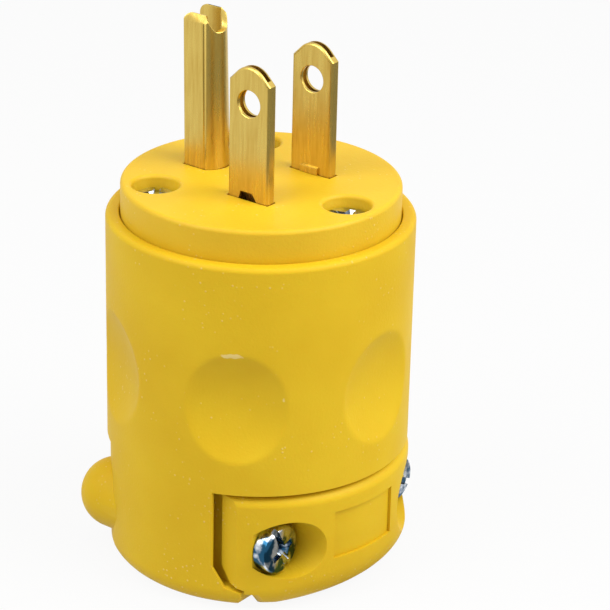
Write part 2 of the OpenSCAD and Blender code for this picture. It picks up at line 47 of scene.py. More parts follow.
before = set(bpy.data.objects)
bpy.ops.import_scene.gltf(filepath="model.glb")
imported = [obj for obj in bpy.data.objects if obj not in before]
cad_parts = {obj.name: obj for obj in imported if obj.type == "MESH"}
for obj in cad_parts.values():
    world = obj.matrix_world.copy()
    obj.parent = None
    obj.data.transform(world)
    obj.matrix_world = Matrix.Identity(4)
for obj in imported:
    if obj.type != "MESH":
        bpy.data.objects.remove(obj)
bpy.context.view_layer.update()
MM = 0.001


def node_box(node):
    """Lowest and highest corner of a CAD node in millimetres."""
    low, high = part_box(node)
    return low / MM, high / MM


BODY_HIGH = node_box("body_shell")[1]
FACE_LOW, FACE_HIGH = node_box("front_face")
BLOCK_LOW, BLOCK_HIGH = node_box("terminal_block")
BLADE_LOW, BLADE_HIGH = node_box("neutral_blade")
PIN_LOW, PIN_HIGH = node_box("ground_pin")
CLAMP_LOW, CLAMP_HIGH = node_box("cord_clamp")
CLAMP_SCREW_LOW, CLAMP_SCREW_HIGH = node_box("clamp_screw_near")
FACE_SCREW_LOW, FACE_SCREW_HIGH = node_box("face_screw_front")
NUT_LOW, NUT_HIGH = node_box("clamp_nut_near")

BODY_R = BODY_HIGH.y
FACE_Z = FACE_HIGH.z
PLATE_Z = BLOCK_HIGH.z
BLOCK_Z = BLOCK_LOW.z
BLADE_X = (BLADE_LOW.x + BLADE_HIGH.x) / 2
CLAMP_SCREW_Y = -(CLAMP_SCREW_LOW.y + CLAMP_SCREW_HIGH.y) / 2
CLAMP_SCREW_Z = (CLAMP_SCREW_LOW.z + CLAMP_SCREW_HIGH.z) / 2
FACE_SCREW_X = (FACE_SCREW_LOW.x + FACE_SCREW_HIGH.x) / 2

# Margin of tools past what they cut, tolerances for finding edges by their place, and the
# angle in degrees up to which shading is smooth.
OVERSHOOT = 1
NEAR = 0.01
CLOSE = 0.001
SMOOTH_ANGLE = 30


def linear(hex_colour):
    """An sRGB hex colour as linear red, green, blue and alpha."""
    parts = [int(hex_colour[i:i + 2], 16) / 255 for i in (1, 3, 5)]
    return [p / 12.92 if p <= 0.04045 else ((p + 0.055) / 1.055) ** 2.4 for p in parts] + [1]


def length(name, description, millimetres):
    """A length property, given in millimetres."""
    return bpy.props.FloatProperty(
        name=name, description=description, default=millimetres * MM, unit="LENGTH")


def angle_value(name, description, degrees):
    """An angle property, given in degrees."""
    return bpy.props.FloatProperty(
        name=name, description=description, default=math.radians(degrees), subtype="ANGLE")


def lamp_power(name, description, watts):
    """A lamp's power property, given in watts."""
    return bpy.props.FloatProperty(
        name=name, description=description, default=watts, unit="POWER")


def colour(name, description, hex_colour):
    """A colour property, given as an sRGB hex value."""
    return bpy.props.FloatVectorProperty(
        name=name, description=description, default=linear(hex_colour), size=4, subtype="COLOR",
        min=0, max=1)


def in_mm(group):
    """A group's values, its lengths in millimetres."""
    values = {}
    for prop in group.bl_rna.properties:
        if prop.identifier in group.__annotations__:
            value = getattr(group, prop.identifier)
            values[prop.identifier] = value / MM if prop.unit == "LENGTH" else value
    return SimpleNamespace(**values)


class BodySizes(bpy.types.PropertyGroup):
    """Sizes of the moulded body."""

    chamber_wall: length("Chamber wall", "Wall around the wiring chamber", 3.1)
    socket_wall: length("Socket wall", "Wall around the socket that holds the face", 1.8)
    socket_depth: length("Socket depth", "Depth of the face's socket below the rim", 7.8)
    rear_round: length("Rear rounding", "Rounding of the rear edge", 3)
    rim_round: length("Rim rounding", "Rounding of the rim's outer edge", 0.7)
    rim_inner_round: length("Inner rim rounding", "Rounding of the rim's inner edge", 0.25)
    mouth_round: length("Mouth rounding", "Rounding of the cord passage's rear mouth", 0.6)
    band_step: length("Band step", "How far the band opposite the clamp is set in", 0.4)
    band_depth: length("Band depth", "Distance of the band's edges from the outside", 9)
    recess_h: length("Recess height", "Height of the recess that holds the clamp", 16.8)
    recess_depth: length("Recess depth", "Depth of that recess from the outside", 12.5)
    recess_roof: length("Recess roof", "Thickness of the body above the recess", 2.4)
    recess_edge: length("Recess edge", "Rounding of the recess's outer edges", 0.22)
    slant_z: length("Slant height", "Height where the recess slants towards its lip", 6.1)
    slant_out: length("Slant reach", "How far the slant leads outwards", 1.47)
    slant_low_h: length("Slant end", "Height of the slant's lower end above the lip", 0.8)
    lip_h: length("Lip height", "Height of the lip below the clamp's ends", 2.6)
    lip_w: length("Lip width", "Width of that lip beyond the parting face", 3.3)
    lip_round: length("Lip rounding", "Rounding of that lip's lower edge", 2.5)
    groove_in: length("Groove depth", "Depth of the grooves beside the clamp's ends", 2.5)
    groove_y: length("Groove place", "Distance of those grooves from the middle", 16.2)
    groove_wall: length("Groove wall", "Wall between those grooves and the outside", 0.34)
    passage_d: length("Passage diameter", "Diameter of the cord passage", 16)
    boss_r: length("Boss radius", "Radius of the bosses over the screw tips", 4.8)
    boss_inset: length("Boss inset", "Distance of the bosses' domes inside the outside", 6.1)
    boss_drop: length("Boss drop", "How far the bosses' middles lie below the screws", 1.1)
    pillar_r: length("Pillar radius", "Radius of the pillars for the face screws", 3.2)
    pillar_rib: length("Pillar rib", "Width of the ribs that join the pillars to the wall", 3)
    screw_hole_d: length("Screw hole", "Diameter of the holes for the clamp screws", 4.1)
    nut_room: length("Nut room", "Room around the nuts in their slots", 0.1)
    dimple_count: bpy.props.IntProperty(
        name="Dimples", description="Number of finger dimples", default=6, min=0)
    dimple_z: length("Dimple height", "Height of the dimples' centres", 28.7)
    dimple_h: length("Dimple size", "Height of a dimple's outline", 15)
    dimple_depth: length("Dimple depth", "Depth of a dimple", 1.7)
    dimple_plan_r: length("Dimple radius", "Radius of a dimple in plan", 35.4)
    dimple_top_blend: length("Dimple top blend", "Softness of a dimple's upper edge", 0.03)
    dimple_low_blend: length("Dimple low blend", "Softness of a dimple's lower edge", 0.12)


class FaceSizes(bpy.types.PropertyGroup):
    """Sizes of the round front face."""

    grow: length("Face growth", "How far the face reaches past its CAD edge towards the rim", 0.25)
    skirt_wall: length("Skirt wall", "Wall of the skirt below the plate", 1.9)
    edge_round: length("Edge rounding", "Rounding of the face's upper edge", 0.6)
    skirt_round: length("Skirt rounding", "Rounding of the skirt's lower edge", 0.3)
    slot_gap: length("Slot gap", "Gap around the blades and the pin", 0.12)
    slot_edge: length("Slot edge", "Rounding of the slots' edges", 0.18)
    hole_d: length("Hole diameter", "Diameter of the holes for the face screws", 6.1)
    hole_round: length("Hole rounding", "Rounding of those holes' edges", 0.5)
    head_sink: length("Head sink", "Depth of the screw heads below the face", 1.3)
    head_h: length("Head height", "Height of the face screws' heads", 1.9)
    head_d: length("Head diameter", "Diameter of the face screws' heads", 5.6)
    screw_d: length("Screw diameter", "Diameter of the face screws' shanks", 2.9)
    screw_pitch: length("Thread pitch", "Pitch of the face screws' threads", 1.06)
    screw_fit: length("Screw fit", "Clearance of the face screws in their holes", 0.1)
    screw_angle: angle_value("Screw angle", "Angle of the two screws beside the ground pin", 131)


class ContactSizes(bpy.types.PropertyGroup):
    """Sizes of the folded brass blades and the ground pin."""

    blade_w: length("Blade width", "Width of a blade", 6.35)
    blade_t: length("Blade thickness", "Thickness of a folded blade", 1.52)
    blade_spacing: length("Blade spacing", "Distance between the blades' centres", 12.7)
    tip_drop: length("Tip drop", "How far a blade's corners lie below its tip", 2)
    crown_r: length("Crown radius", "Radius of the tip's crown", 2.8)
    hole_d: length("Hole diameter", "Diameter of the hole near the tip", 3.5)
    hole_h: length("Hole height", "Height of that hole above the face", 12.6)
    terminal_hole_d: length("Terminal hole", "Diameter of the terminal screws' holes", 3.7)
    terminal_drop: length("Terminal drop", "Distance of the terminals below the block", 9)
    fold_gap: length("Fold gap", "Gap between a blade's two layers", 0.66)
    fold_wall: length("Fold wall", "Thickness of the fold that joins the layers", 0.6)
    foot_w: length("Foot width", "Width of the foot that holds a blade", 9.2)
    foot_h: length("Foot height", "Height of that foot", 1.5)
    dent_in: length("Dent depth", "Depth of the dent on the outer side of a blade's foot", 0.5)
    bump_w: length("Bump width", "Width of the locating bump at a blade's foot", 2.8)
    bump_h: length("Bump height", "Height of that bump above the face", 1)
    bump_out: length("Bump depth", "How far the bump stands out", 0.35)
    blade_round: length("Blade rounding", "Rounding of the blades' outer edges", 0.36)
    edge_round: length("Edge rounding", "Rounding of the other brass edges", 0.12)
    pin_w: length("Pin width", "Width of the ground pin across its legs", 4.75)
    pin_wall: length("Pin wall", "Thickness of the pin's metal", 0.8)
    web_depth: length("Web depth", "Depth of the round web in front of the flat legs", 1.575)
    web_drop: length("Web drop", "How far the web's rim lies below the legs' tops", 2.25)
    shoulder: length("Shoulder", "Softness of the legs' shoulders above the rim", 0.2)
    rim_reach: length("Rim reach", "Distance over which the rim drops from a shoulder", 2)
    crease: length("Crease", "Depth of the crease between a leg and the web", 0.14)
    near_drop: length("Near leg drop", "How far the near leg's top lies below the far leg's", 0.4)
    leg_round: length("Leg rounding", "Rounding of the legs' free ends", 0.35)
    nose_round: length("Nose rounding", "Rounding of the legs' tops at their free ends", 1.3)
    lead_h: length("Lead-in height", "Height of the lead-in on the legs' outer faces", 1.15)
    lead_in: length("Lead-in depth", "Depth of that lead-in at the tip", 0.47)
    taper: length("Taper", "How far each leg leans in at its top", 0.35)
    lean: angle_value("Lean", "Angle at which the pin leans back above the face", 1.4)
    ground_tab_t: length("Ground tab", "Thickness of the ground pin's terminal tab", 1.3)


class ClampSizes(bpy.types.PropertyGroup):
    """Sizes of the cord clamp and its screws."""

    gap: length("Gap", "Gap between the clamp and its recess", 0.45)
    rear_round: length("Rear rounding", "Rounding of the clamp's rear edge", 5.5)
    rear_round_end: length("Rear end rounding", "Rounding of that edge 45 degrees from its middle", 3.3)
    top_round: length("Top rounding", "Rounding of the clamp's top edge", 1.4)
    back_round: length("Back rounding", "Rounding of the clamp's back corners", 0.9)
    end_round: length("End rounding", "Rounding of the clamp's ends", 0.3)
    end_grow: length("End growth", "How far the clamp's ends reach past their CAD place", 0.8)
    out: length("Set-out", "How far the outer curve is set out from the axis", 0.7)
    closed_gap: length("Closed gap", "Passage width that the closed clamp leaves", 8)
    tongue_fit: length("Tongue fit", "Clearance of the tongue in the passage", 0.4)
    saddle_r: length("Saddle radius", "Radius of the saddle in the tongue", 6)
    saddle_groove: length("Saddle groove", "Depth of the grooves between its ribs", 0.7)
    saddle_grooves: bpy.props.IntProperty(
        name="Saddle grooves", description="Number of those grooves", default=3, min=1)
    pocket_d: length("Pocket diameter", "Diameter of the pockets around the heads", 8)
    near_mouth_d: length("Near mouth", "Diameter of the near pocket's flared mouth", 8.3)
    far_mouth_d: length("Far mouth", "Diameter of the far pocket's flared mouth", 12.6)
    far_shift: length("Far mouth shift", "How far the far mouth leans towards the middle", 1.3)
    pocket_flare: length("Pocket flare", "Depth of the flare below the heads' faces", 0.8)
    pocket_lift: length("Pocket lift", "Height of the pockets' middles above the screws", 0.4)
    corner_y: length("Corner place", "Where the lower corners' slants start, across the clamp", 13.5)
    corner_end: length("Corner end", "Where those slants end, across the clamp", 15.3)
    corner_z: length("Corner height", "Height of the clamp's underside beyond those slants", 2.5)
    label_w: length("Panel width", "Width of the bare panel", 10.4)
    label_h: length("Panel height", "Height of the bare panel", 6.7)
    label_y: length("Panel place", "Place of the panel's middle across the clamp", -2.3)
    label_z: length("Panel level", "Height of the panel's middle", 10.1)
    label_depth: length("Panel depth", "Depth of the panel", 0.4)
    head_d: length("Head diameter", "Diameter of the clamp screws' heads", 6.6)
    head_h: length("Head height", "Height of the clamp screws' heads", 2.4)
    screw_d: length("Screw diameter", "Diameter of the clamp screws' shanks", 3.5)
    screw_pitch: length("Thread pitch", "Pitch of the clamp screws' threads", 0.8)


class Finishes(bpy.types.PropertyGroup):
    """Colours of the finishes."""

    body: colour("Body", "Moulded vinyl of the body and the clamp", "#D9B41E")
    body_deep: colour("Body, deep", "Darker clouds in that vinyl", "#D2AB18")
    face: colour("Face", "Moulded nylon of the front face", "#DDB61E")
    face_deep: colour("Face, deep", "Darker clouds in that nylon", "#D6AD16")
    scuff: colour("Scuff", "Whitened scuffs and specks on the vinyl", "#F2DFA0")
    brass: colour("Brass", "Clean rolled brass", "#D6BA62")
    brass_deep: colour("Brass, deep", "Streaks in the rolled brass", "#B8943F")
    tarnish: colour("Tarnish", "Brown tarnish on the brass", "#6B5124")
    zinc: colour("Zinc", "Bright zinc plating", "#DCE2E8")
    # The plating's own blue tint, made darker than real plating as a painted dark reflection in the
    # screw heads.
    zinc_blue: colour("Zinc, blue", "Blue passivation of the zinc", "#24526F")
    zinc_grey: colour("Zinc, grey", "Dull grey clouds in the clear zinc of the face screws", "#A2A9AF")
    nickel: colour("Nickel", "Nickel plating", "#CFCCC4")
    green: colour("Green", "Green dyed plating of the ground screw", "#3F7D4A")
    block: colour("Block", "Dark moulded thermoset", "#2C2B29")
    floor: colour("Floor", "Pale studio floor", "#C6C6C5")
    card: colour("Card", "Dark card that the metal reflects", "#7C7C7A")


class StageSettings(bpy.types.PropertyGroup):
    """Camera and lamps."""

    azimuth: angle_value("Azimuth", "Camera's direction round the plug", 37.14)
    elevation: angle_value("Elevation", "Camera's height above the horizon", 23.81)
    roll: angle_value("Roll", "Camera's turn about its own axis", 1.36)
    distance: length("Distance", "Camera's distance from its aim", 322.75)
    lens: bpy.props.FloatProperty(
        name="Lens", description="Focal length for a sensor of 36 mm", default=149.7,
        subtype="DISTANCE_CAMERA")
    aim: bpy.props.FloatVectorProperty(
        name="Aim", description="Point that the camera looks at",
        default=(8.60 * MM, -1.58 * MM, 37.37 * MM), subtype="TRANSLATION")
    lamp_size: length("Softbox size", "Side of each square softbox", 350)
    lamp_distance: length("Softbox distance", "Distance of the softboxes from the aim", 500)
    right_power: lamp_power("Right light", "Power of the softbox at the right", 2.3)
    left_power: lamp_power("Left light", "Power of the softbox at the left", 1.5)
    top_power: lamp_power("Top light", "Power of the softbox overhead", 0.7)
    world: bpy.props.FloatProperty(
        name="Room light", description="Strength of the even light of the room", default=0.4)
    floor_white: bpy.props.FloatProperty(
        name="White floor", description="Share of plain white in the floor as it is seen",
        default=0.92, subtype="FACTOR")


def activate(piece):
    """Makes one object the only selected and active one."""
    bpy.ops.object.select_all(action="DESELECT")
    piece.select_set(True)
    bpy.context.view_layer.objects.active = piece


def arc(centre, radius, start, end, steps):
    """Points of an arc between two angles in degrees, both ends included."""
    angles = [math.radians(start + (end - start) * i / steps) for i in range(steps + 1)]
    return [(centre[0] + radius * math.cos(a), centre[1] + radius * math.sin(a)) for a in angles]


def outline(name, points):
    """A closed outline, all selected in edit mode: a circle with its vertices moved to points."""
    bpy.ops.object.select_all(action="DESELECT")
    bpy.ops.mesh.primitive_circle_add(vertices=len(points), radius=1)
    piece = bpy.context.object
    piece.name = name
    for vertex, point in zip(piece.data.vertices, points):
        vertex.co = point
    bpy.ops.object.mode_set(mode="EDIT")
    bpy.ops.mesh.select_all(action="SELECT")
    return piece


def close_mesh():
    """Merges doubles, drops loose bits, turns the normals outwards and leaves edit mode."""
    bpy.ops.mesh.select_all(action="SELECT")
    bpy.ops.mesh.remove_doubles(threshold=1e-4)
    bpy.ops.mesh.delete_loose()
    bpy.ops.mesh.select_all(action="SELECT")
    bpy.ops.mesh.normals_make_consistent(inside=False)
    bpy.ops.object.mode_set(mode="OBJECT")


def prism(name, points, travel):
    """A closed outline, filled and extruded along a vector."""
    piece = outline(name, points)
    bpy.ops.mesh.edge_face_add()
    bpy.ops.mesh.extrude_region_move(TRANSFORM_OT_translate={"value": travel})
    close_mesh()
    return piece


def block(name, low, high):
    """A box between two corners."""
    points = [(low[0], low[1], low[2]), (high[0], low[1], low[2]),
              (high[0], high[1], low[2]), (low[0], high[1], low[2])]
    return prism(name, points, (0, 0, high[2] - low[2]))


def lathe(name, profile, steps):
    """A closed profile of radius and height, spun about the Z axis."""
    piece = outline(name, [(radius, 0, height) for radius, height in profile])
    bpy.ops.mesh.spin(steps=steps, angle=2 * math.pi, center=(0, 0, 0), axis=(0, 0, 1))
    close_mesh()
    return piece


def rod(name, radius, low, high, sides):
    """A round bar along Z between two heights."""
    return prism(name, [(x, y, low) for x, y in arc((0, 0), radius, 0, 360, sides)[:-1]],
                 (0, 0, high - low))


def place(piece, *steps):
    """Moves a mesh by a chain of matrices, the last one first."""
    matrix = Matrix.Identity(4)
    for step in steps:
        matrix = matrix @ step
    piece.data.transform(matrix)
    piece.data.update()
    return piece


def shift(x, y, z):
    """Matrix that moves along X, Y and Z."""
    return Matrix.Translation((x, y, z))


def turn(degrees, axis):
    """Matrix that turns about a named axis."""
    return Matrix.Rotation(math.radians(degrees), 4, axis)


def combine(piece, tool, operation):
    """Applies a tool to a piece by a boolean operation and removes the tool."""
    modifier = piece.modifiers.new("shape", "BOOLEAN")
    modifier.operation = operation
    modifier.solver = "EXACT"
    modifier.object = tool
    activate(piece)
    bpy.ops.object.modifier_apply(modifier=modifier.name)
    bpy.data.meshes.remove(tool.data)
    return piece


def cut(piece, *tools):
    """Cuts tools away from a piece."""
    for tool in tools:
        combine(piece, tool, "DIFFERENCE")
    return piece


def join(piece, *tools):
    """Joins tools to a piece."""
    for tool in tools:
        combine(piece, tool, "UNION")
    return piece


def slice_off(piece, point, normal):
    """Removes what lies beyond a plane and closes the cut."""
    activate(piece)
    bpy.ops.object.mode_set(mode="EDIT")
    bpy.ops.mesh.select_all(action="SELECT")
    bpy.ops.mesh.bisect(plane_co=point, plane_no=normal, use_fill=True, clear_outer=True,
                        threshold=1e-5)
    bpy.ops.object.mode_set(mode="OBJECT")


def pick_edges(piece, chosen):
    """Enters edit mode with only the chosen edges selected, and says how many they are."""
    activate(piece)
    bpy.ops.object.mode_set(mode="EDIT")
    bpy.ops.mesh.select_mode(type="EDGE")
    bpy.ops.mesh.select_all(action="DESELECT")
    mesh = bmesh.from_edit_mesh(piece.data)
    count = 0
    for edge in mesh.edges:
        if chosen(edge):
            edge.select_set(True)
            count += 1
    bmesh.update_edit_mesh(piece.data)
    return count


def sharp(edge, degrees):
    """True where the faces beside an edge meet at more than an angle."""
    return len(edge.link_faces) == 2 and edge.calc_face_angle() > math.radians(degrees)


def middle(edge):
    """Middle of an edge."""
    return (edge.verts[0].co + edge.verts[1].co) / 2


def round_edges(piece, width, segments, chosen):
    """Bevels the chosen edges to a rounding."""
    if pick_edges(piece, chosen):
        bpy.ops.mesh.bevel(offset=width, segments=segments, affect="EDGES", clamp_overlap=True)
    bpy.ops.object.mode_set(mode="OBJECT")


def twin(piece, name):
    """A copy of a piece, with a mesh of its own."""
    copy = piece.copy()
    copy.data = piece.data.copy()
    copy.name = name
    bpy.context.scene.collection.objects.link(copy)
    return copy


def finish_piece(piece, name, node, body, material):
    """Scales a piece to metres, smooths its shading and puts it in its CAD node's place."""
    piece.name = name
    piece.data.name = name
    place(piece, Matrix.Scale(MM, 4))
    activate(piece)
    bpy.ops.object.shade_smooth_by_angle(angle=math.radians(SMOOTH_ANGLE))
    modifier = piece.modifiers.new("even shading", "WEIGHTED_NORMAL")
    modifier.keep_sharp = True
    bpy.ops.object.modifier_apply(modifier=modifier.name)
    piece.data.materials.clear()
    piece.data.materials.append(material)
    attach(piece, body)
    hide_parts(node)
    return piece


def set_inputs(tree, node, inputs):
    """Gives inputs of a node a value each, or a socket to link."""
    for socket, value in inputs.items():
        if isinstance(value, bpy.types.NodeSocket):
            tree.links.new(value, node.inputs[socket])
        else:
            node.inputs[socket].default_value = value


def add_node(tree, kind, inputs, **settings):
    """Adds a node with its settings and inputs."""
    node = tree.nodes.new(kind)
    for name, value in settings.items():
        setattr(node, name, value)
    set_inputs(tree, node, inputs)
    return node


def per(millimetres):
    """Texture scale whose features have that size."""
    return 1 / (millimetres * MM)


def start_material(name):
    """A material with its shader, its node tree and the object's own coordinates."""
    material = bpy.data.materials.new(name)
    material.use_nodes = True
    tree = material.node_tree
    shader = tree.nodes["Principled BSDF"]
    spot = add_node(tree, "ShaderNodeTexCoord", {}).outputs["Object"]
    return material, tree, shader, spot


# Places of the colour sockets of a Mix node
MIX_A, MIX_B, MIX_RESULT = 6, 7, 2


def moulded_plastic(name, base, deep, shine, scuff, scuff_spots):
    """Satin moulded plastic: soft clouds of colour, a fine grain, bright specks and scuffs.

    The grain and the specks are drawn coarser than real ones, so that they show.
    """
    speck_shade, speck_height, mark_shade = 0.5, 1.5, 0.6
    material, tree, shader, spot = start_material(name)
    clouds = add_node(tree, "ShaderNodeTexNoise",
                      {"Vector": spot, "Scale": per(16), "Detail": 3, "Roughness": 0.55})
    cloud_mask = add_node(tree, "ShaderNodeMapRange",
                          {"Value": clouds.outputs["Fac"], "From Min": 0.35, "From Max": 0.65})
    tint = add_node(tree, "ShaderNodeMix",
                    {"Factor": cloud_mask.outputs["Result"], MIX_A: base, MIX_B: deep},
                    data_type="RGBA")
    cells = add_node(tree, "ShaderNodeTexVoronoi", {"Vector": spot, "Scale": per(0.9)})
    dots = add_node(tree, "ShaderNodeMapRange",
                    {"Value": cells.outputs["Distance"], "From Min": 0.2, "From Max": 0.08})
    patches = add_node(tree, "ShaderNodeTexNoise",
                       {"Vector": spot, "Scale": per(7), "Detail": 2})
    patch_mask = add_node(tree, "ShaderNodeMapRange",
                          {"Value": patches.outputs["Fac"], "From Min": 0.5, "From Max": 0.62})
    specks = add_node(tree, "ShaderNodeMath",
                      {0: dots.outputs["Result"], 1: patch_mask.outputs["Result"]},
                      operation="MULTIPLY")
    pale = add_node(tree, "ShaderNodeMath", {0: specks.outputs["Value"], 1: speck_shade},
                    operation="MULTIPLY")
    marks = pale.outputs["Value"]
    for centre, reach in scuff_spots:
        offset = add_node(tree, "ShaderNodeVectorMath",
                          {0: spot, 1: [c * MM for c in centre]}, operation="SUBTRACT")
        shape = add_node(tree, "ShaderNodeVectorMath",
                         {0: offset.outputs["Vector"], 1: [1 / (r * MM) for r in reach]},
                         operation="MULTIPLY")
        away = add_node(tree, "ShaderNodeVectorMath", {0: shape.outputs["Vector"]},
                        operation="LENGTH")
        ragged = add_node(tree, "ShaderNodeTexNoise",
                          {"Vector": spot, "Scale": per(0.7), "Detail": 3})
        edge = add_node(tree, "ShaderNodeMath",
                        {0: away.outputs["Value"], 1: ragged.outputs["Fac"]}, operation="ADD")
        scuffed = add_node(tree, "ShaderNodeMapRange",
                           {"Value": edge.outputs["Value"], "From Min": 1.35, "From Max": 1.1})
        marks = add_node(tree, "ShaderNodeMath", {0: marks, 1: scuffed.outputs["Result"]},
                         operation="MAXIMUM").outputs["Value"]
    shown = add_node(tree, "ShaderNodeMath", {0: marks, 1: mark_shade}, operation="MULTIPLY")
    marked = add_node(tree, "ShaderNodeMix",
                      {"Factor": shown.outputs["Value"], MIX_A: tint.outputs[MIX_RESULT],
                       MIX_B: scuff}, data_type="RGBA")
    gloss = add_node(tree, "ShaderNodeMapRange",
                     {"Value": patches.outputs["Fac"], "To Min": 0.48, "To Max": 0.58})
    grain = add_node(tree, "ShaderNodeTexNoise",
                     {"Vector": spot, "Scale": per(0.35), "Detail": 2})
    raised = add_node(tree, "ShaderNodeMath",
                      {0: specks.outputs["Value"], 1: speck_height, 2: grain.outputs["Fac"]},
                      operation="MULTIPLY_ADD")
    bump = add_node(tree, "ShaderNodeBump",
                    {"Height": raised.outputs["Value"], "Strength": 0.6, "Distance": 0.05 * MM})
    set_inputs(tree, shader, {
        "Base Color": marked.outputs[MIX_RESULT], "Roughness": gloss.outputs["Result"],
        "Normal": bump.outputs["Normal"], "Specular IOR Level": shine, "Subsurface Weight": 0.15,
        "Subsurface Radius": (1, 0.35, 0.08), "Subsurface Scale": 1.2 * MM})
    return material


def rolled_brass(name, base, deep, tarnish):
    """Rolled and folded brass: lengthwise streaks and spots of brown tarnish.

    The streaks are drawn coarser than real ones, so that they show.
    """
    tarnish_reach = 7
    material, tree, shader, spot = start_material(name)
    stretched = add_node(tree, "ShaderNodeMapping", {"Vector": spot, "Scale": (1, 1, 0.06)})
    streaks = add_node(tree, "ShaderNodeTexNoise",
                       {"Vector": stretched.outputs["Vector"], "Scale": per(0.35), "Detail": 3})
    streak_mask = add_node(tree, "ShaderNodeMapRange",
                           {"Value": streaks.outputs["Fac"], "From Min": 0.35, "From Max": 0.7})
    clouds = add_node(tree, "ShaderNodeTexNoise", {"Vector": spot, "Scale": per(3), "Detail": 4})
    toned = add_node(tree, "ShaderNodeMath",
                     {0: streak_mask.outputs["Result"], 1: clouds.outputs["Fac"]},
                     operation="MULTIPLY")
    tint = add_node(tree, "ShaderNodeMix",
                    {"Factor": toned.outputs["Value"], MIX_A: base, MIX_B: deep},
                    data_type="RGBA")
    height = add_node(tree, "ShaderNodeSeparateXYZ", {"Vector": spot})
    low = add_node(tree, "ShaderNodeMapRange",
                   {"Value": height.outputs["Z"], "From Min": FACE_Z * MM,
                    "From Max": (FACE_Z + tarnish_reach) * MM, "To Min": 0.42, "To Max": 0.4})
    spots = add_node(tree, "ShaderNodeTexNoise",
                     {"Vector": spot, "Scale": per(0.9), "Detail": 5, "Roughness": 0.65})
    excess = add_node(tree, "ShaderNodeMath",
                      {0: spots.outputs["Fac"], 1: low.outputs["Result"]}, operation="ADD")
    stained = add_node(tree, "ShaderNodeMapRange",
                       {"Value": excess.outputs["Value"], "From Min": 1.1, "From Max": 1.3,
                        "To Max": 0.8})
    coloured = add_node(tree, "ShaderNodeMix",
                        {"Factor": stained.outputs["Result"], MIX_A: tint.outputs[MIX_RESULT],
                         MIX_B: tarnish}, data_type="RGBA")
    rough = add_node(tree, "ShaderNodeMapRange",
                     {"Value": toned.outputs["Value"], "To Min": 0.26, "To Max": 0.42})
    bump = add_node(tree, "ShaderNodeBump",
                    {"Height": streaks.outputs["Fac"], "Strength": 0.15, "Distance": 0.02 * MM})
    set_inputs(tree, shader, {
        "Base Color": coloured.outputs[MIX_RESULT], "Roughness": rough.outputs["Result"],
        "Normal": bump.outputs["Normal"], "Metallic": 1})
    return material


def plated_metal(name, base, second):
    """Bright plating: mirror-like in two tones, with soft waves and an uneven polish."""
    material, tree, shader, spot = start_material(name)
    clouds = add_node(tree, "ShaderNodeTexNoise", {"Vector": spot, "Scale": per(2.2), "Detail": 3})
    cloud_mask = add_node(tree, "ShaderNodeMapRange",
                          {"Value": clouds.outputs["Fac"], "From Min": 0.42, "From Max": 0.54})
    tint = add_node(tree, "ShaderNodeMix",
                    {"Factor": cloud_mask.outputs["Result"], MIX_A: base, MIX_B: second},
                    data_type="RGBA")
    grit = add_node(tree, "ShaderNodeTexNoise", {"Vector": spot, "Scale": per(0.3), "Detail": 3})
    rough = add_node(tree, "ShaderNodeMapRange",
                     {"Value": grit.outputs["Fac"], "To Min": 0.1, "To Max": 0.26})
    bump = add_node(tree, "ShaderNodeBump",
                    {"Height": clouds.outputs["Fac"], "Strength": 0.3, "Distance": 0.12 * MM})
    set_inputs(tree, shader, {
        "Base Color": tint.outputs[MIX_RESULT], "Roughness": rough.outputs["Result"],
        "Normal": bump.outputs["Normal"], "Metallic": 1})
    return material


def thermoset(name, base):
    """Dark moulded thermoset: a dull surface with fine mineral grain."""
    material, tree, shader, spot = start_material(name)
    grain = add_node(tree, "ShaderNodeTexNoise", {"Vector": spot, "Scale": per(0.5), "Detail": 4})
    light = add_node(tree, "ShaderNodeMapRange",
                     {"Value": grain.outputs["Fac"], "To Min": 0.75, "To Max": 1.35})
    tint = add_node(tree, "ShaderNodeVectorMath", {0: base[:3], "Scale": light.outputs["Result"]},
                    operation="SCALE")
    bump = add_node(tree, "ShaderNodeBump",
                    {"Height": grain.outputs["Fac"], "Strength": 0.2, "Distance": 0.03 * MM})
    set_inputs(tree, shader, {"Base Color": tint.outputs["Vector"],
                              "Normal": bump.outputs["Normal"], "Roughness": 0.6})
    return material


def material_for(name, make, *values):
    """The named material, made on first use."""
    return bpy.data.materials.get(name) or make(name, *values)


def body_vinyl(context):
    """Moulded vinyl of the body and the clamp: soft satin yellow with two pale scuffs."""
    colours = context.scene.plug_finishes
    shine = 0.18
    # Middle and reach of each scuff in millimetres
    scuffs = [((9.6, -17.4, 36.0), (1.9, 1.2, 0.45)), ((14.6, -13.5, 30.1), (0.35, 0.35, 0.55))]
    return material_for("moulded yellow vinyl", moulded_plastic,
                        colours.body, colours.body_deep, shine, colours.scuff, scuffs)


def face_nylon(context):
    """Moulded nylon of the face: a yellow that shines a little more than the body's."""
    colours = context.scene.plug_finishes
    shine = 0.35
    return material_for("moulded yellow nylon", moulded_plastic,
                        colours.face, colours.face_deep, shine, colours.scuff, [])


def contact_brass(context):
    """Rolled brass of the contacts: warm gold with a lengthwise brushed look."""
    colours = context.scene.plug_finishes
    return material_for("rolled brass", rolled_brass,
                        colours.brass, colours.brass_deep, colours.tarnish)


def bright_zinc(context):
    """Blue-passivated zinc of the clamp's screws: mirror-bright silver with deep blue patches, the blue
    the plating's own and their depth a painted dark reflection.
    """
    colours = context.scene.plug_finishes
    return material_for("bright zinc plating", plated_metal, colours.zinc, colours.zinc_blue)


def clear_zinc(context):
    """Clear zinc of the face screws: bright silver with dull grey patches."""
    colours = context.scene.plug_finishes
    return material_for("clear zinc plating", plated_metal, colours.zinc, colours.zinc_grey)


def nickel_plate(context):
    """Nickel plating of the terminals: warm silver with cooler patches."""
    colours = context.scene.plug_finishes
    return material_for("nickel plating", plated_metal, colours.nickel, colours.zinc)


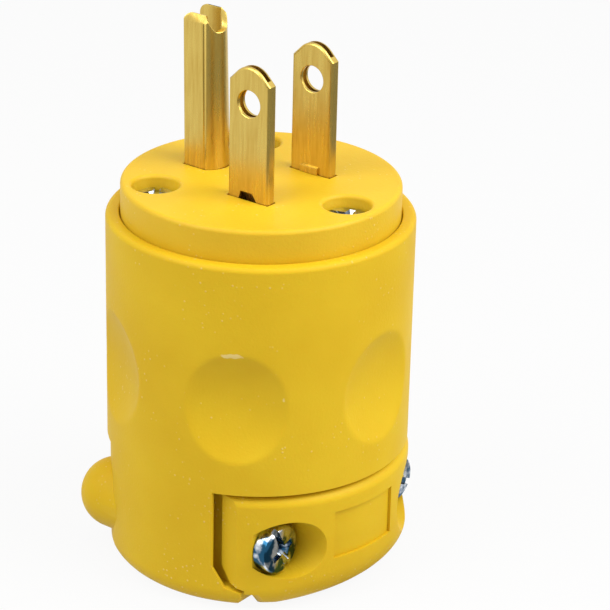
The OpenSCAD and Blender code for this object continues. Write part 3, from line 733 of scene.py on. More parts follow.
def green_plate(context):
    """Green dyed plating of the ground screw: one even, shiny green."""
    colours = context.scene.plug_finishes
    return material_for("green dyed plating", plated_metal, colours.green, colours.green)


def block_thermoset(context):
    """Moulded thermoset of the terminal block: nearly black and dull."""
    return material_for("dark thermoset", thermoset, context.scene.plug_finishes.block)


def soft_min(a, b, blend):
    """The lower of two values, with a rounded change between them."""
    near = max(blend - abs(a - b), 0) / blend
    return min(a, b) - near * near * blend / 4


def dimple_radius(size, angle, height):
    """Distance of a dimple's floor from the axis, at an angle from the dimple's middle."""
    side_r = (size.dimple_h ** 2 / 4 + size.dimple_depth ** 2) / (2 * size.dimple_depth)
    level = height - size.dimple_z
    centre = BODY_R - size.dimple_depth + size.dimple_plan_r
    inside = side_r ** 2 - level ** 2
    if inside <= 0:
        return BODY_R + OVERSHOOT
    ring = size.dimple_plan_r - side_r + math.sqrt(inside)
    reach = ring ** 2 - (centre * math.sin(angle)) ** 2
    if reach <= 0:
        return BODY_R + OVERSHOOT
    return centre * math.cos(angle) - math.sqrt(reach)


def press_dimples(piece, size, low, high):
    """Adds rings around the grip and presses the finger dimples into it."""
    ring_step, skin = 0.34, 0.02

    def on_skin(vertex):
        return abs(vertex.co.xy.length - BODY_R) < skin

    def grip_edge(edge):
        lower, upper = sorted(v.co.z for v in edge.verts)
        return all(map(on_skin, edge.verts)) and abs(lower - low) < NEAR and abs(upper - high) < NEAR

    pick_edges(piece, grip_edge)
    bpy.ops.mesh.subdivide(number_cuts=int((high - low) / ring_step))
    bpy.ops.object.mode_set(mode="OBJECT")
    sector = 2 * math.pi / size.dimple_count
    for vertex in piece.data.vertices:
        if not (on_skin(vertex) and low < vertex.co.z < high):
            continue
        radius = vertex.co.xy.length
        angle = math.atan2(vertex.co.y, vertex.co.x)
        angle -= sector * round(angle / sector)
        share = (vertex.co.z - low) / (high - low)
        blend = size.dimple_low_blend + (size.dimple_top_blend - size.dimple_low_blend) * share
        pressed = soft_min(radius, dimple_radius(size, angle, vertex.co.z), blend)
        vertex.co.xy *= pressed / radius


def recess_points(size, gap):
    """Outline of the clamp's recess in X and Z, moved outwards by a gap."""
    parting = BODY_R - size.recess_depth
    return [
        (parting + gap, size.recess_h - gap),
        (parting + gap, size.slant_z),
        (parting + size.slant_out + gap, size.lip_h + size.slant_low_h + gap),
        (parting + size.lip_w + gap, size.lip_h + gap),
        (parting + size.lip_w + gap, -OVERSHOOT),
    ]


def face_screw_turns(face):
    """Angles of the face screws: front, near and far, in degrees."""
    angle = math.degrees(face.screw_angle)
    return (0, -angle, angle)


class PLUG_OT_body(bpy.types.Operator):
    """Model the moulded body with its rim, dimples, bosses, recess and wiring chamber"""

    bl_idname = "plug.body"
    bl_label = "Body"

    def execute(self, context):
        size = in_mm(context.scene.plug_body)
        face = in_mm(context.scene.plug_face)
        grip_low = size.dimple_z - size.dimple_h / 2 - OVERSHOOT
        grip_high = size.dimple_z + size.dimple_h / 2 + OVERSHOOT
        piece = self.turned_shell(size, grip_low, grip_high)
        self.cut_band(piece, size)
        self.add_bosses(piece, size)
        self.add_pillars(piece, size, face)
        self.cut_recess(piece, size)
        self.cut_screw_holes(piece, size, face)
        press_dimples(piece, size, grip_low, grip_high)
        finish_piece(piece, "moulded_body", "body_shell", "plug", body_vinyl(context))
        return {"FINISHED"}

    def turned_shell(self, size, grip_low, grip_high):
        """The round body with its socket, chamber and passage."""
        top = BODY_HIGH.z
        passage_r = size.passage_d / 2
        socket_r = BODY_R - size.socket_wall
        chamber_r = BODY_R - size.chamber_wall
        ledge = top - size.socket_depth
        floor = size.recess_h + size.recess_roof
        rear, rim = size.rear_round, size.rim_round
        inner, mouth = size.rim_inner_round, size.mouth_round
        profile = [
            *arc((passage_r + mouth, mouth), mouth, 180, 270, 4),
            *arc((BODY_R - rear, rear), rear, 270, 360, 10),
            (BODY_R, grip_low),
            (BODY_R, grip_high),
            *arc((BODY_R - rim, top - rim), rim, 0, 90, 6),
            *arc((socket_r + inner, top - inner), inner, 90, 180, 4),
            (socket_r, ledge), (chamber_r, ledge), (chamber_r, floor), (passage_r, floor),
        ]
        return lathe("body", profile, 360)

    def cut_band(self, piece, size):
        """The band opposite the clamp, where the body is set in a little."""
        inner = BODY_R - size.band_step
        outer = BODY_R + OVERSHOOT
        band = lathe("band", [(inner, -OVERSHOOT), (outer, -OVERSHOOT),
                              (outer, size.recess_h), (inner, size.recess_h)], 180)
        slice_off(band, (size.band_depth - BODY_R, 0, 0), (1, 0, 0))
        cut(piece, band)

    def add_bosses(self, piece, size):
        """The two domed bosses that cover the screws' tips."""
        stem = 7
        for side in (-1, 1):
            profile = [*arc((0, 0), size.boss_r, -90, 0, 16), (size.boss_r, stem), (0, stem)]
            boss = lathe("boss", profile, 64)
            place(boss, shift(size.boss_inset - BODY_R, side * CLAMP_SCREW_Y,
                              CLAMP_SCREW_Z - size.boss_drop), turn(90, "Y"))
            join(piece, boss)

    def add_pillars(self, piece, size, face):
        """The pillars for the face screws, each joined to the wall by a rib."""
        floor = size.recess_h + size.recess_roof - OVERSHOOT
        half = size.pillar_rib / 2
        open_angle = math.degrees(math.asin(half / size.pillar_r))
        wall = BODY_R - size.chamber_wall + OVERSHOOT / 2
        shaft = arc((FACE_SCREW_X, 0), size.pillar_r, open_angle, 360 - open_angle, 32)
        points = [(x, y, floor) for x, y in [*shaft, (wall, -half), (wall, half)]]
        for angle in face_screw_turns(face):
            pillar = prism("pillar", points, (0, 0, BLOCK_Z - floor))
            join(piece, place(pillar, turn(angle, "Z")))

    def cut_recess(self, piece, size):
        """The recess for the clamp and the open side of the cord passage."""
        wide = 2 * BODY_R
        corner = [(wide, -OVERSHOOT), (wide, size.recess_h)]
        points = [(x, -wide, z) for x, z in [*recess_points(size, 0), *corner]]
        off_tangent = 0.1
        half = size.passage_d / 2 - off_tangent
        lip_end, lip = BODY_R - size.recess_depth + size.lip_w, size.lip_round
        below = [*arc((lip_end - lip, lip), lip, 0, -90, 10),
                 (lip_end - lip, -OVERSHOOT), (wide, -OVERSHOOT), (wide, lip)]
        cut(piece, prism("recess", points, (0, 2 * wide, 0)))
        cut(piece, prism("lip", [(x, -wide, z) for x, z in below], (0, 2 * wide, 0)))
        round_edges(piece, size.recess_edge, 3, lambda edge: self.recess_edge(edge, size))
        cut(piece, block("passage", (0, -half, -OVERSHOOT), (wide, half, size.recess_h)))
        self.cut_grooves(piece, size)

    def cut_grooves(self, piece, size):
        """Deep grooves in the recess beside the clamp's ends, which stay dark."""
        below_roof = 0.05
        points = recess_points(size, 0)[:3]
        slant_end = points[-1]
        deep = [(x - size.groove_in, z) for x, z in points]
        outline_xz = [*deep, slant_end, (slant_end[0], size.recess_h)]
        for side in (-1, 1):
            corners = [(x, side * size.groove_y, z - below_roof) for x, z in outline_xz]
            groove = prism("groove", corners, (0, side * BODY_R, 0))
            inside = rod("inside", BODY_R - size.groove_wall, -OVERSHOOT, BODY_HIGH.z, 180)
            cut(piece, combine(groove, inside, "INTERSECT"))

    def recess_edge(self, edge, size):
        """True for the recess's edges on the body's outer skin."""
        spot = middle(edge)
        under_skin = 0.05
        if spot.x < BODY_R - size.recess_depth - NEAR or spot.z > size.recess_h + NEAR:
            return False
        depth = max(size.rear_round - spot.z, 0)
        skin = BODY_R - size.rear_round + math.sqrt(max(size.rear_round ** 2 - depth ** 2, 0))
        return sharp(edge, 35) and spot.xy.length > skin - under_skin

    def cut_screw_holes(self, piece, size, face):
        """Holes for the clamp screws, slots for their nuts and holes for the face screws."""
        tip = CLAMP_SCREW_LOW.x - OVERSHOOT
        floor = size.recess_h + size.recess_roof
        nut_half = (NUT_HIGH.y - NUT_LOW.y) / 2 + size.nut_room
        for side in (-1, 1):
            hole = rod("screw_hole", size.screw_hole_d / 2, tip, BODY_R, 48)
            place(hole, shift(0, side * CLAMP_SCREW_Y, CLAMP_SCREW_Z), turn(90, "Y"))
            slot = block("nut_slot",
                         (NUT_LOW.x - size.nut_room, -nut_half, NUT_LOW.z - size.nut_room),
                         (NUT_HIGH.x + size.nut_room, nut_half, floor + OVERSHOOT))
            place(slot, shift(0, side * CLAMP_SCREW_Y, 0))
            cut(piece, slot, hole)
        for angle in face_screw_turns(face):
            hole = rod("face_screw_hole", face.screw_d / 2 + face.screw_fit,
                       FACE_SCREW_LOW.z - OVERSHOOT, BLOCK_Z + OVERSHOOT, 32)
            cut(piece, place(hole, turn(angle, "Z"), shift(FACE_SCREW_X, 0, 0)))


def web_start(size):
    """Place along X where the pin's flat legs end and its round web starts."""
    return PIN_HIGH.x - size.web_depth


def web_curve(size, grow, steps):
    """Pointed half oval of the pin's web in plan, from the near leg to the far one."""
    deep, half, power = size.web_depth + grow, size.pin_w / 2 + grow, 1.2
    points = []
    for i in range(steps + 1):
        angle = math.pi * (i / steps - 0.5)
        across = math.copysign(abs(math.sin(angle)) ** power, angle)
        points.append((web_start(size) + deep * abs(math.cos(angle)) ** power, half * across))
    return points


def pin_outline(size, grow):
    """Plan of the ground pin: flat legs towards -X, joined by a round web towards +X."""
    half, back = size.pin_w / 2 + grow, PIN_LOW.x - grow
    return [(back, half), (back, -half), *web_curve(size, grow, 32)]


class PLUG_OT_face(bpy.types.Operator):
    """Model the round face with its skirt, slots and screw holes"""

    bl_idname = "plug.face"
    bl_label = "Front face"

    def execute(self, context):
        size = in_mm(context.scene.plug_face)
        contacts = in_mm(context.scene.plug_contacts)
        face_r = FACE_HIGH.x + size.grow
        skirt_r = face_r - size.skirt_wall
        low = FACE_LOW.z
        edge, skirt = size.edge_round, size.skirt_round
        profile = [
            (0, PLATE_Z), (skirt_r, PLATE_Z), (skirt_r, low),
            *arc((face_r - skirt, low + skirt), skirt, 270, 360, 4),
            *arc((face_r - edge, FACE_Z - edge), edge, 0, 90, 6),
            (0, FACE_Z),
        ]
        piece = lathe("face", profile, 256)
        self.cut_slots(piece, size, contacts)
        for angle in face_screw_turns(size):
            cut(piece, place(self.hole_tool(size), turn(angle, "Z"), shift(FACE_SCREW_X, 0, 0)))
        round_edges(piece, size.slot_edge, 3, self.slot_edge)
        finish_piece(piece, "round_face", "front_face", "plug", face_nylon(context))
        return {"FINISHED"}

    def slot_edge(self, edge):
        """True for the slots' edges on the face."""
        return sharp(edge, 50) and all(abs(v.co.z - FACE_Z) < CLOSE for v in edge.verts)

    def cut_slots(self, piece, size, contacts):
        """Slots for the blades and the pin, with room for their feet below."""
        gap = size.slot_gap
        low, high = PLATE_Z - OVERSHOOT, FACE_Z + OVERSHOOT
        foot_top = PLATE_Z + contacts.foot_h + gap
        half_t = contacts.blade_t / 2 + gap
        half_blade, half_foot = contacts.blade_w / 2 + gap, contacts.foot_w / 2 + gap
        for side in (-1, 1):
            y = side * contacts.blade_spacing / 2
            for half_w, top in ((half_blade, high), (half_foot, foot_top)):
                cut(piece, block("slot", (BLADE_X - half_w, y - half_t, low),
                                 (BLADE_X + half_w, y + half_t, top)))
        points = [(x, y, low) for x, y in pin_outline(contacts, gap)]
        cut(piece, prism("pin_slot", points, (0, 0, high - low)))
        cut(piece, block("pin_foot", (PIN_LOW.x - gap, -half_foot, low),
                         (PIN_HIGH.x + gap, half_foot, foot_top)))

    def hole_tool(self, size):
        """Stepped hole for a face screw, with a rounded mouth."""
        seat = FACE_Z - size.head_sink - size.head_h
        shank_r = size.screw_d / 2 + size.screw_fit
        hole_r, lip = size.hole_d / 2, size.hole_round
        low, high = PLATE_Z - OVERSHOOT, FACE_Z + OVERSHOOT
        profile = [
            (0, low), (shank_r, low), (shank_r, seat), (hole_r, seat),
            *arc((hole_r + lip, FACE_Z - lip), lip, 180, 92, 6),
            (hole_r + lip, high), (0, high),
        ]
        return lathe("hole", profile, 64)


class PLUG_OT_blades(bpy.types.Operator):
    """Model the two folded brass blades"""

    bl_idname = "plug.blades"
    bl_label = "Blades"

    def execute(self, context):
        size = in_mm(context.scene.plug_contacts)
        brass = contact_brass(context)
        near = self.blade(size)
        far = twin(near, "far_blade")
        place(far, Matrix.Scale(-1, 4, (0, 1, 0)))
        far.data.flip_normals()
        for piece, node, name, side in ((near, "neutral_blade", "near_blade", -1),
                                        (far, "hot_blade", "far_blade", 1)):
            place(piece, shift(BLADE_X, side * size.blade_spacing / 2, 0))
            finish_piece(piece, name, node, "plug", brass)
        return {"FINISHED"}

    def front_outline(self, size):
        """Outline of a blade in X and Z, with its tip, foot and terminal tab."""
        half, foot = size.blade_w / 2, size.foot_w / 2
        foot_top = PLATE_Z + size.foot_h
        tip = BLADE_HIGH.z
        crown = tip - size.crown_r
        rise = crown - (tip - size.tip_drop)
        slope = math.asin(size.crown_r / math.hypot(half, rise)) + math.atan2(rise, half)
        start = 90 - math.degrees(slope)
        right = [(half, BLADE_LOW.z), (half, PLATE_Z), (foot, PLATE_Z), (foot, foot_top),
                 (half, foot_top), (half, tip - size.tip_drop)]
        left = [(-x, z) for x, z in reversed(right)]
        return [*right, *arc((0, crown), size.crown_r, start, 180 - start, 16), *left]

    def blade(self, size):
        """One blade with its outer side towards -Y: two layers folded at the +X edge."""
        half_t, half_w = size.blade_t / 2, size.blade_w / 2
        points = [(x, -half_t, z) for x, z in self.front_outline(size)]
        piece = prism("blade", points, (0, size.blade_t, 0))
        round_edges(piece, size.blade_round, 4,
                    lambda edge: sharp(edge, 60) and abs(abs(middle(edge).y) - half_t) < CLOSE)
        for radius, height in ((size.hole_d / 2, FACE_Z + size.hole_h),
                               (size.terminal_hole_d / 2, BLOCK_Z - size.terminal_drop)):
            hole = rod("hole", radius, -size.blade_t, size.blade_t, 48)
            cut(piece, place(hole, shift(0, 0, height), turn(90, "X")))
        round_edges(piece, size.edge_round, 3, lambda edge: sharp(edge, 60))
        slit_low = PLATE_Z + size.foot_h
        cut(piece, block("slit", (-half_w - OVERSHOOT, -size.fold_gap / 2, slit_low),
                         (half_w - size.fold_wall, size.fold_gap / 2, BLADE_HIGH.z + OVERSHOOT)))
        bump_half = size.bump_w / 2
        dent_right, dent_left = 0.5 * bump_half, 0.8 * bump_half
        bump_top = FACE_Z + size.bump_h
        dent = [(-bump_half, slit_low), (bump_half, slit_low), (bump_half, FACE_Z),
                (dent_right, bump_top), (-dent_left, bump_top), (-bump_half, FACE_Z)]
        points = [(x, -half_t - OVERSHOOT, z) for x, z in dent]
        cut(piece, prism("dent", points, (0, OVERSHOOT + size.dent_in, 0)))
        bump = block("bump", (-bump_half, half_t - size.bump_out, FACE_Z),
                     (bump_half, half_t + size.bump_out, bump_top))
        round_edges(bump, size.edge_round, 2, lambda edge: sharp(edge, 40))
        return join(piece, bump)


class PLUG_OT_ground_pin(bpy.types.Operator):
    """Model the hollow folded ground pin"""

    bl_idname = "plug.ground_pin"
    bl_label = "Ground pin"

    def execute(self, context):
        size = in_mm(context.scene.plug_contacts)
        piece = self.folded_sheet(size)
        self.round_sheet(piece, size)
        self.shape_top(piece, size)
        self.lean_back(piece, size)
        self.add_foot(piece, size)
        finish_piece(piece, "hollow_ground_pin", "ground_pin", "plug",
                     contact_brass(context))
        return {"FINISHED"}

    def sheet_line(self, size):
        """Middle line of the sheet in plan, each point with the height of the sheet's top there."""
        half = (size.pin_w - size.pin_wall) / 2
        near, far = PIN_HIGH.z - size.near_drop, PIN_HIGH.z
        web = web_curve(size, -size.pin_wall / 2, 80)
        ways = [0]
        for one, two in zip(web, web[1:]):
            ways.append(ways[-1] + math.dist(one, two))
        line = [(PIN_LOW.x, -half, near)]
        for (x, y), way in zip(web, ways):
            past = math.hypot(min(way, ways[-1] - way), size.shoulder) - size.shoulder
            drop = size.web_drop * (1 - max(1 - past / size.rim_reach, 0) ** 3)
            line.append((x, y, near + (far - near) * way / ways[-1] - drop))
        return [*line, (PIN_LOW.x, half, far)]

    def folded_sheet(self, size):
        """The sheet folded to a U: a strip along its middle line, made as thick as the metal."""
        line = self.sheet_line(size)
        last = len(line) - 1
        bpy.ops.object.select_all(action="DESELECT")
        bpy.ops.mesh.primitive_grid_add(x_subdivisions=last, y_subdivisions=1, size=1)
        piece = bpy.context.object
        for vertex in piece.data.vertices:
            x, y, top = line[round((vertex.co.x + 0.5) * last)]
            vertex.co = (x, y, top if vertex.co.y > 0 else PLATE_Z)
        modifier = piece.modifiers.new("sheet", "SOLIDIFY")
        modifier.thickness = size.pin_wall
        modifier.offset = 0
        modifier.use_even_offset = True
        bpy.ops.object.modifier_apply(modifier=modifier.name)
        bpy.ops.object.mode_set(mode="EDIT")
        close_mesh()
        return piece

    def round_sheet(self, piece, size):
        """Rounds the legs' free ends and the sheet's upper edges."""
        half = size.pin_w / 2

        def free_end(edge):
            return all(v.co.x < PIN_LOW.x + NEAR and abs(v.co.y) > half - NEAR for v in edge.verts)

        def upper_edge(edge):
            return sharp(edge, 45) and all(v.co.z > FACE_Z for v in edge.verts)

        round_edges(piece, size.leg_round, 4, free_end)
        round_edges(piece, size.edge_round, 3, upper_edge)

    def shape_top(self, piece, size):
        """Rounds the legs' noses, gives their outer faces a lead-in and adds the creases."""
        wide, top = 2 * size.pin_w, PIN_HIGH.z + OVERSHOOT
        nose, half = size.nose_round, size.pin_w / 2
        back, front = PIN_LOW.x, web_start(size)
        off_middle = 0.1
        slice_off(piece, (0, 0, PIN_HIGH.z), (0, 0, 1))
        for leg, tip in ((-1, PIN_HIGH.z - size.near_drop), (1, PIN_HIGH.z)):
            above = [*arc((back + nose, tip - nose), nose, 90, 180, 8),
                     (back - wide, tip - nose), (back - wide, top), (back + nose, top)]
            points = [(x, leg * off_middle, z) for x, z in above]
            cut(piece, prism("above", points, (0, leg * wide, 0)))
            slice_off(piece, (0, leg * half, tip - size.lead_h), (0, leg * size.lead_h, size.lead_in))
            floor, mouth = leg * (half - size.crease), leg * (half + size.crease)
            reach = 2 * size.crease
            groove = [(front - reach, mouth), (front, floor), (front + reach, mouth)]
            cut(piece, prism("crease", [(x, y, PLATE_Z) for x, y in groove], (0, 0, top - PLATE_Z)))

    def lean_back(self, piece, size):
        """Leans the pin back above the face and brings its legs together towards the tip."""
        activate(piece)
        bpy.ops.object.mode_set(mode="EDIT")
        bpy.ops.mesh.select_all(action="SELECT")
        bpy.ops.mesh.bisect(plane_co=(0, 0, FACE_Z), plane_no=(0, 0, 1))
        bpy.ops.object.mode_set(mode="OBJECT")
        narrowing = size.taper / (size.pin_w / 2) / (PIN_HIGH.z - FACE_Z)
        for vertex in piece.data.vertices:
            rise = max(vertex.co.z - FACE_Z, 0)
            vertex.co.x -= rise * math.tan(size.lean)
            vertex.co.y *= 1 - rise * narrowing

    def add_foot(self, piece, size):
        """The solid stem and foot below the sheet, and the terminal tab."""
        half_foot, half_tab = size.foot_w / 2, size.blade_w / 2
        foot_top = PLATE_Z + size.foot_h
        stem_low = BLOCK_Z - OVERSHOOT
        stem = prism("stem", [(x, y, stem_low) for x, y in pin_outline(size, 0)],
                     (0, 0, PLATE_Z + size.foot_h / 2 - stem_low))
        foot = block("foot", (PIN_LOW.x, -half_foot, PLATE_Z), (PIN_HIGH.x, half_foot, foot_top))
        tab_x = PIN_HIGH.x - size.pin_wall
        tab = block("tab", (tab_x - size.ground_tab_t, -half_tab, PIN_LOW.z),
                    (tab_x, half_tab, BLOCK_Z))
        hole = rod("hole", size.terminal_hole_d / 2, -size.pin_w, size.pin_w, 48)
        place(hole, shift(tab_x, 0, BLOCK_Z - size.terminal_drop), turn(90, "Y"))
        join(piece, foot, stem, cut(tab, hole))


class PLUG_OT_clamp(bpy.types.Operator):
    """Model the cord clamp with its tongue, screw pockets and bare panel"""

    bl_idname = "plug.clamp"
    bl_label = "Cord clamp"

    def execute(self, context):
        size = in_mm(context.scene.plug_clamp)
        body = in_mm(context.scene.plug_body)
        piece = self.outer_form(size, body)
        self.cut_panel(piece, size)
        self.cut_pockets(piece, size, body)
        join(piece, self.tongue(size, body))
        finish_piece(piece, "clamp_bar", "cord_clamp", "clamp", body_vinyl(context))
        return {"FINISHED"}

    def outer_form(self, size, body):
        """The clamp's rounded bar, cut to its ends and to the recess's lip."""
        radius = CLAMP_HIGH.x - size.out
        low, top = CLAMP_LOW.z, CLAMP_HIGH.z
        rear, edge = size.rear_round, size.top_round
        profile = [
            (0, low), *arc((radius - rear, low + rear), rear, 270, 360, 14),
            *arc((radius - edge, top - edge), edge, 0, 90, 8), (0, top),
        ]
        piece = lathe("clamp", profile, 256)
        self.ease_rear(piece, size, radius)
        place(piece, shift(size.out, 0, 0))
        back = BODY_R - body.recess_depth + size.gap
        end = CLAMP_HIGH.y + size.end_grow
        slice_off(piece, (back, 0, 0), (-1, 0, 0))
        for side in (-1, 1):
            slice_off(piece, (0, side * end, 0), (0, side, 0))
        round_edges(piece, size.back_round, 6, lambda edge: self.back_edge(edge, back, end))
        round_edges(piece, size.end_round, 5, lambda edge: self.end_edge(edge, end))
        room = [(0, body.recess_h), *recess_points(body, size.gap), (0, -OVERSHOOT)]
        cut(piece, prism("lip_room", [(x, -BODY_R, z) for x, z in room], (0, 2 * BODY_R, 0)))
        below = [(size.corner_y, -OVERSHOOT), (size.corner_y, low), (size.corner_end, size.corner_z),
                 (BODY_R, size.corner_z), (BODY_R, -OVERSHOOT)]
        for side in (-1, 1):
            cut(piece, prism("corner", [(0, side * y, z) for y, z in below], (2 * BODY_R, 0, 0)))
        return piece

    def ease_rear(self, piece, size, radius):
        """Makes the rounding of the rear edge smaller towards the clamp's ends."""
        eased_at = 45
        low, rear = CLAMP_LOW.z, size.rear_round
        for vertex in piece.data.vertices:
            x, y, z = vertex.co
            across = math.hypot(x, y)
            if across > radius - rear - CLOSE and z < low + rear + CLOSE:
                ease = min(math.degrees(math.atan2(y, x)) / eased_at, 1, key=abs) ** 2
                here = rear + (size.rear_round_end - rear) * ease
                vertex.co.xy *= (radius + (across - radius) * here / rear) / across
                vertex.co.z = low + (z - low) * here / rear

    def back_edge(self, edge, back, end):
        """True for the upright edges at the clamp's back corners."""
        return all(abs(v.co.x - back) < CLOSE and abs(abs(v.co.y) - end) < CLOSE for v in edge.verts)

    def end_edge(self, edge, end):
        """True for the sharper edges round the clamp's two ends."""
        return sharp(edge, 30) and all(abs(abs(v.co.y) - end) < CLOSE for v in edge.verts)

    def cut_panel(self, piece, size):
        """The shallow bare panel on the clamp's outer side."""
        radius = CLAMP_HIGH.x - size.out - size.label_depth
        left, right = size.label_y - size.label_w / 2, size.label_y + size.label_w / 2
        start, end = (math.degrees(math.asin(y / radius)) for y in (left, right))
        floor = arc((size.out, 0), radius, start, end, 32)
        outside = 2 * BODY_R
        low = size.label_z - size.label_h / 2
        points = [(x, y, low) for x, y in [*floor, (outside, right), (outside, left)]]
        cut(piece, prism("panel", points, (0, 0, size.label_h)))

    def cut_pockets(self, piece, size, body):
        """Flared pockets around the screw heads, and the holes below them."""
        face = CLAMP_SCREW_HIGH.x
        seat, flare = face - size.head_h, face - size.pocket_flare
        edge = CLAMP_HIGH.x - size.out
        hole_r, pocket_r = body.screw_hole_d / 2, size.pocket_d / 2
        for side, mouth_r, lean in ((-1, size.near_mouth_d / 2, 0),
                                    (1, size.far_mouth_d / 2, size.far_shift)):
            profile = [(0, seat), (pocket_r, seat), (pocket_r, flare),
                       (mouth_r, edge), (mouth_r, edge + OVERSHOOT), (0, edge + OVERSHOOT)]
            hole = rod("hole", hole_r, 0, seat + OVERSHOOT, 48)
            pocket = lathe("pocket", profile, 96)
            for vertex in pocket.data.vertices:
                vertex.co.y -= side * lean * max(vertex.co.z - flare, 0) / (edge - flare)
            y = side * CLAMP_SCREW_Y
            place(hole, shift(0, y, CLAMP_SCREW_Z), turn(90, "Y"))
            place(pocket, shift(0, y, CLAMP_SCREW_Z + size.pocket_lift), turn(90, "Y"))
            cut(piece, pocket, hole)

    def tongue(self, size, body):
        """The tongue that presses the cord, with a ribbed saddle."""
        passage_r = body.passage_d / 2
        half = passage_r - size.tongue_fit
        start = size.closed_gap - passage_r
        low, top = body.lip_h + size.gap, CLAMP_HIGH.z
        back = BODY_R - body.recess_depth + size.gap + OVERSHOOT / 2
        piece = block("tongue", (start, -half, low), (back, half, top))
        centre = start - size.saddle_r / 2
        step = (top - low) / (2 * size.saddle_grooves + 1)
        deep = size.saddle_r + size.saddle_groove
        rings = [(size.saddle_r, low - OVERSHOOT)]
        for i in range(size.saddle_grooves):
            lower, upper = low + (2 * i + 1) * step, low + (2 * i + 2) * step
            rings += [(size.saddle_r, lower), (deep, lower), (deep, upper), (size.saddle_r, upper)]
        rings.append((size.saddle_r, top + OVERSHOOT))
        saddle = lathe("saddle", [(0, low - OVERSHOOT), *rings, (0, top + OVERSHOOT)], 96)
        return cut(piece, place(saddle, shift(centre, 0, 0)))


def machine_screw(head_d, head_h, shank_d, pitch, length_below):
    """A pan-head screw along Z with its seat at 0: threaded shank, low crown and driver's recess."""
    radius, shank_r = head_d / 2, shank_d / 2
    neck, tip_bevel, seat_bevel = 0.8, 0.5, 0.15
    crown, rim, flat_r = 0.06 * head_h, 0.24 * head_h, 0.3 * radius
    turn_rings, thread_depth, thread_slope = 10, 0.16 * shank_d, 1.4
    edge_round, rounded_from = 0.06, 0.5
    rings = int(length_below / pitch * turn_rings)
    shank = [(shank_r, -length_below + tip_bevel + (length_below - tip_bevel) * i / rings)
             for i in range(rings + 1)]
    profile = [
        (0, -length_below), (shank_r - tip_bevel, -length_below), *shank,
        (radius - seat_bevel, 0), (radius, seat_bevel),
        *arc((radius - rim, head_h - crown - rim), rim, 0, 84, 6),
        (flat_r, head_h - crown / 4), (0, head_h),
    ]
    piece = lathe("screw", profile, 48)
    for vertex in piece.data.vertices:
        if -length_below + tip_bevel / 2 < vertex.co.z < -neck:
            around = math.atan2(vertex.co.y, vertex.co.x) / (2 * math.pi)
            phase = (vertex.co.z / pitch - around) % 1
            groove = 1 - abs(2 * phase - 1)
            vertex.co.xy *= 1 - thread_depth * min(1, thread_slope * groove) / shank_r
    cut(piece, *drive_tools(radius, head_h))
    round_edges(piece, edge_round, 2,
                lambda edge: sharp(edge, 40) and middle(edge).z > rounded_from)
    return piece


def drive_tools(radius, head_h):
    """Tools for the driver's recess: two crossing tapered wings, a star-shaped middle and a slot."""
    top = head_h + OVERSHOOT
    wing_reach, wing_half, wing_depth = 0.62 * radius, 0.15 * radius, 0.62 * head_h
    star_reach, star_half, star_depth = 0.36 * radius, 0.2 * radius, 0.75 * wing_depth
    slot_reach, slot_half, slot_depth = 1.1 * radius, 0.13 * radius, 0.36 * head_h
    floor_share = 0.45
    tools = []
    for angle, reach, half, depth in ((0, wing_reach, wing_half, wing_depth),
                                      (90, wing_reach, wing_half, wing_depth),
                                      (45, star_reach, star_half, star_depth)):
        low, floor = head_h - depth, floor_share * reach
        points = [(-reach, top), (reach, top), (reach, head_h), (floor, low),
                  (-floor, low), (-reach, head_h)]
        wing = prism("wing", [(x, -half, z) for x, z in points], (0, 2 * half, 0))
        tools.append(place(wing, turn(angle, "Z")))
    tools.append(block("slot", (-slot_reach, -slot_half, head_h - slot_depth),
                       (slot_reach, slot_half, top)))
    return tools


class PLUG_OT_clamp_screws(bpy.types.Operator):
    """Model the two zinc screws of the clamp"""

    bl_idname = "plug.clamp_screws"
    bl_label = "Clamp screws"

    def execute(self, context):
        size = in_mm(context.scene.plug_clamp)
        zinc = bright_zinc(context)
        seat = CLAMP_SCREW_HIGH.x - size.head_h
        piece = machine_screw(size.head_d, size.head_h, size.screw_d, size.screw_pitch,
                              seat - CLAMP_SCREW_LOW.x)
        for node, side, drive_turn in (("clamp_screw_near", -1, 22), ("clamp_screw_far", 1, 64)):
            screw = twin(piece, node)
            place(screw, shift(seat, side * CLAMP_SCREW_Y, CLAMP_SCREW_Z), turn(90, "Y"),
                  turn(drive_turn, "Z"))
            finish_piece(screw, node.replace("clamp_screw", "clamp_bolt"), node, "clamp", zinc)
        bpy.data.meshes.remove(piece.data)
        return {"FINISHED"}


class PLUG_OT_face_screws(bpy.types.Operator):
    """Model the three screws that hold the face"""

    bl_idname = "plug.face_screws"
    bl_label = "Face screws"

    def execute(self, context):
        size = in_mm(context.scene.plug_face)
        zinc = clear_zinc(context)
        seat = FACE_Z - size.head_sink - size.head_h
        piece = machine_screw(size.head_d, size.head_h, size.screw_d, size.screw_pitch,
                              seat - FACE_SCREW_LOW.z)
        nodes = ("face_screw_front", "face_screw_near", "face_screw_far")
        drive_turns = (10, 75, 40)
        for node, angle, drive_turn in zip(nodes, face_screw_turns(size), drive_turns):
            screw = twin(piece, node)
            place(screw, turn(angle, "Z"), shift(FACE_SCREW_X, 0, seat), turn(drive_turn, "Z"))
            finish_piece(screw, node.replace("face_screw", "face_bolt"), node, "plug", zinc)
        bpy.data.meshes.remove(piece.data)
        return {"FINISHED"}


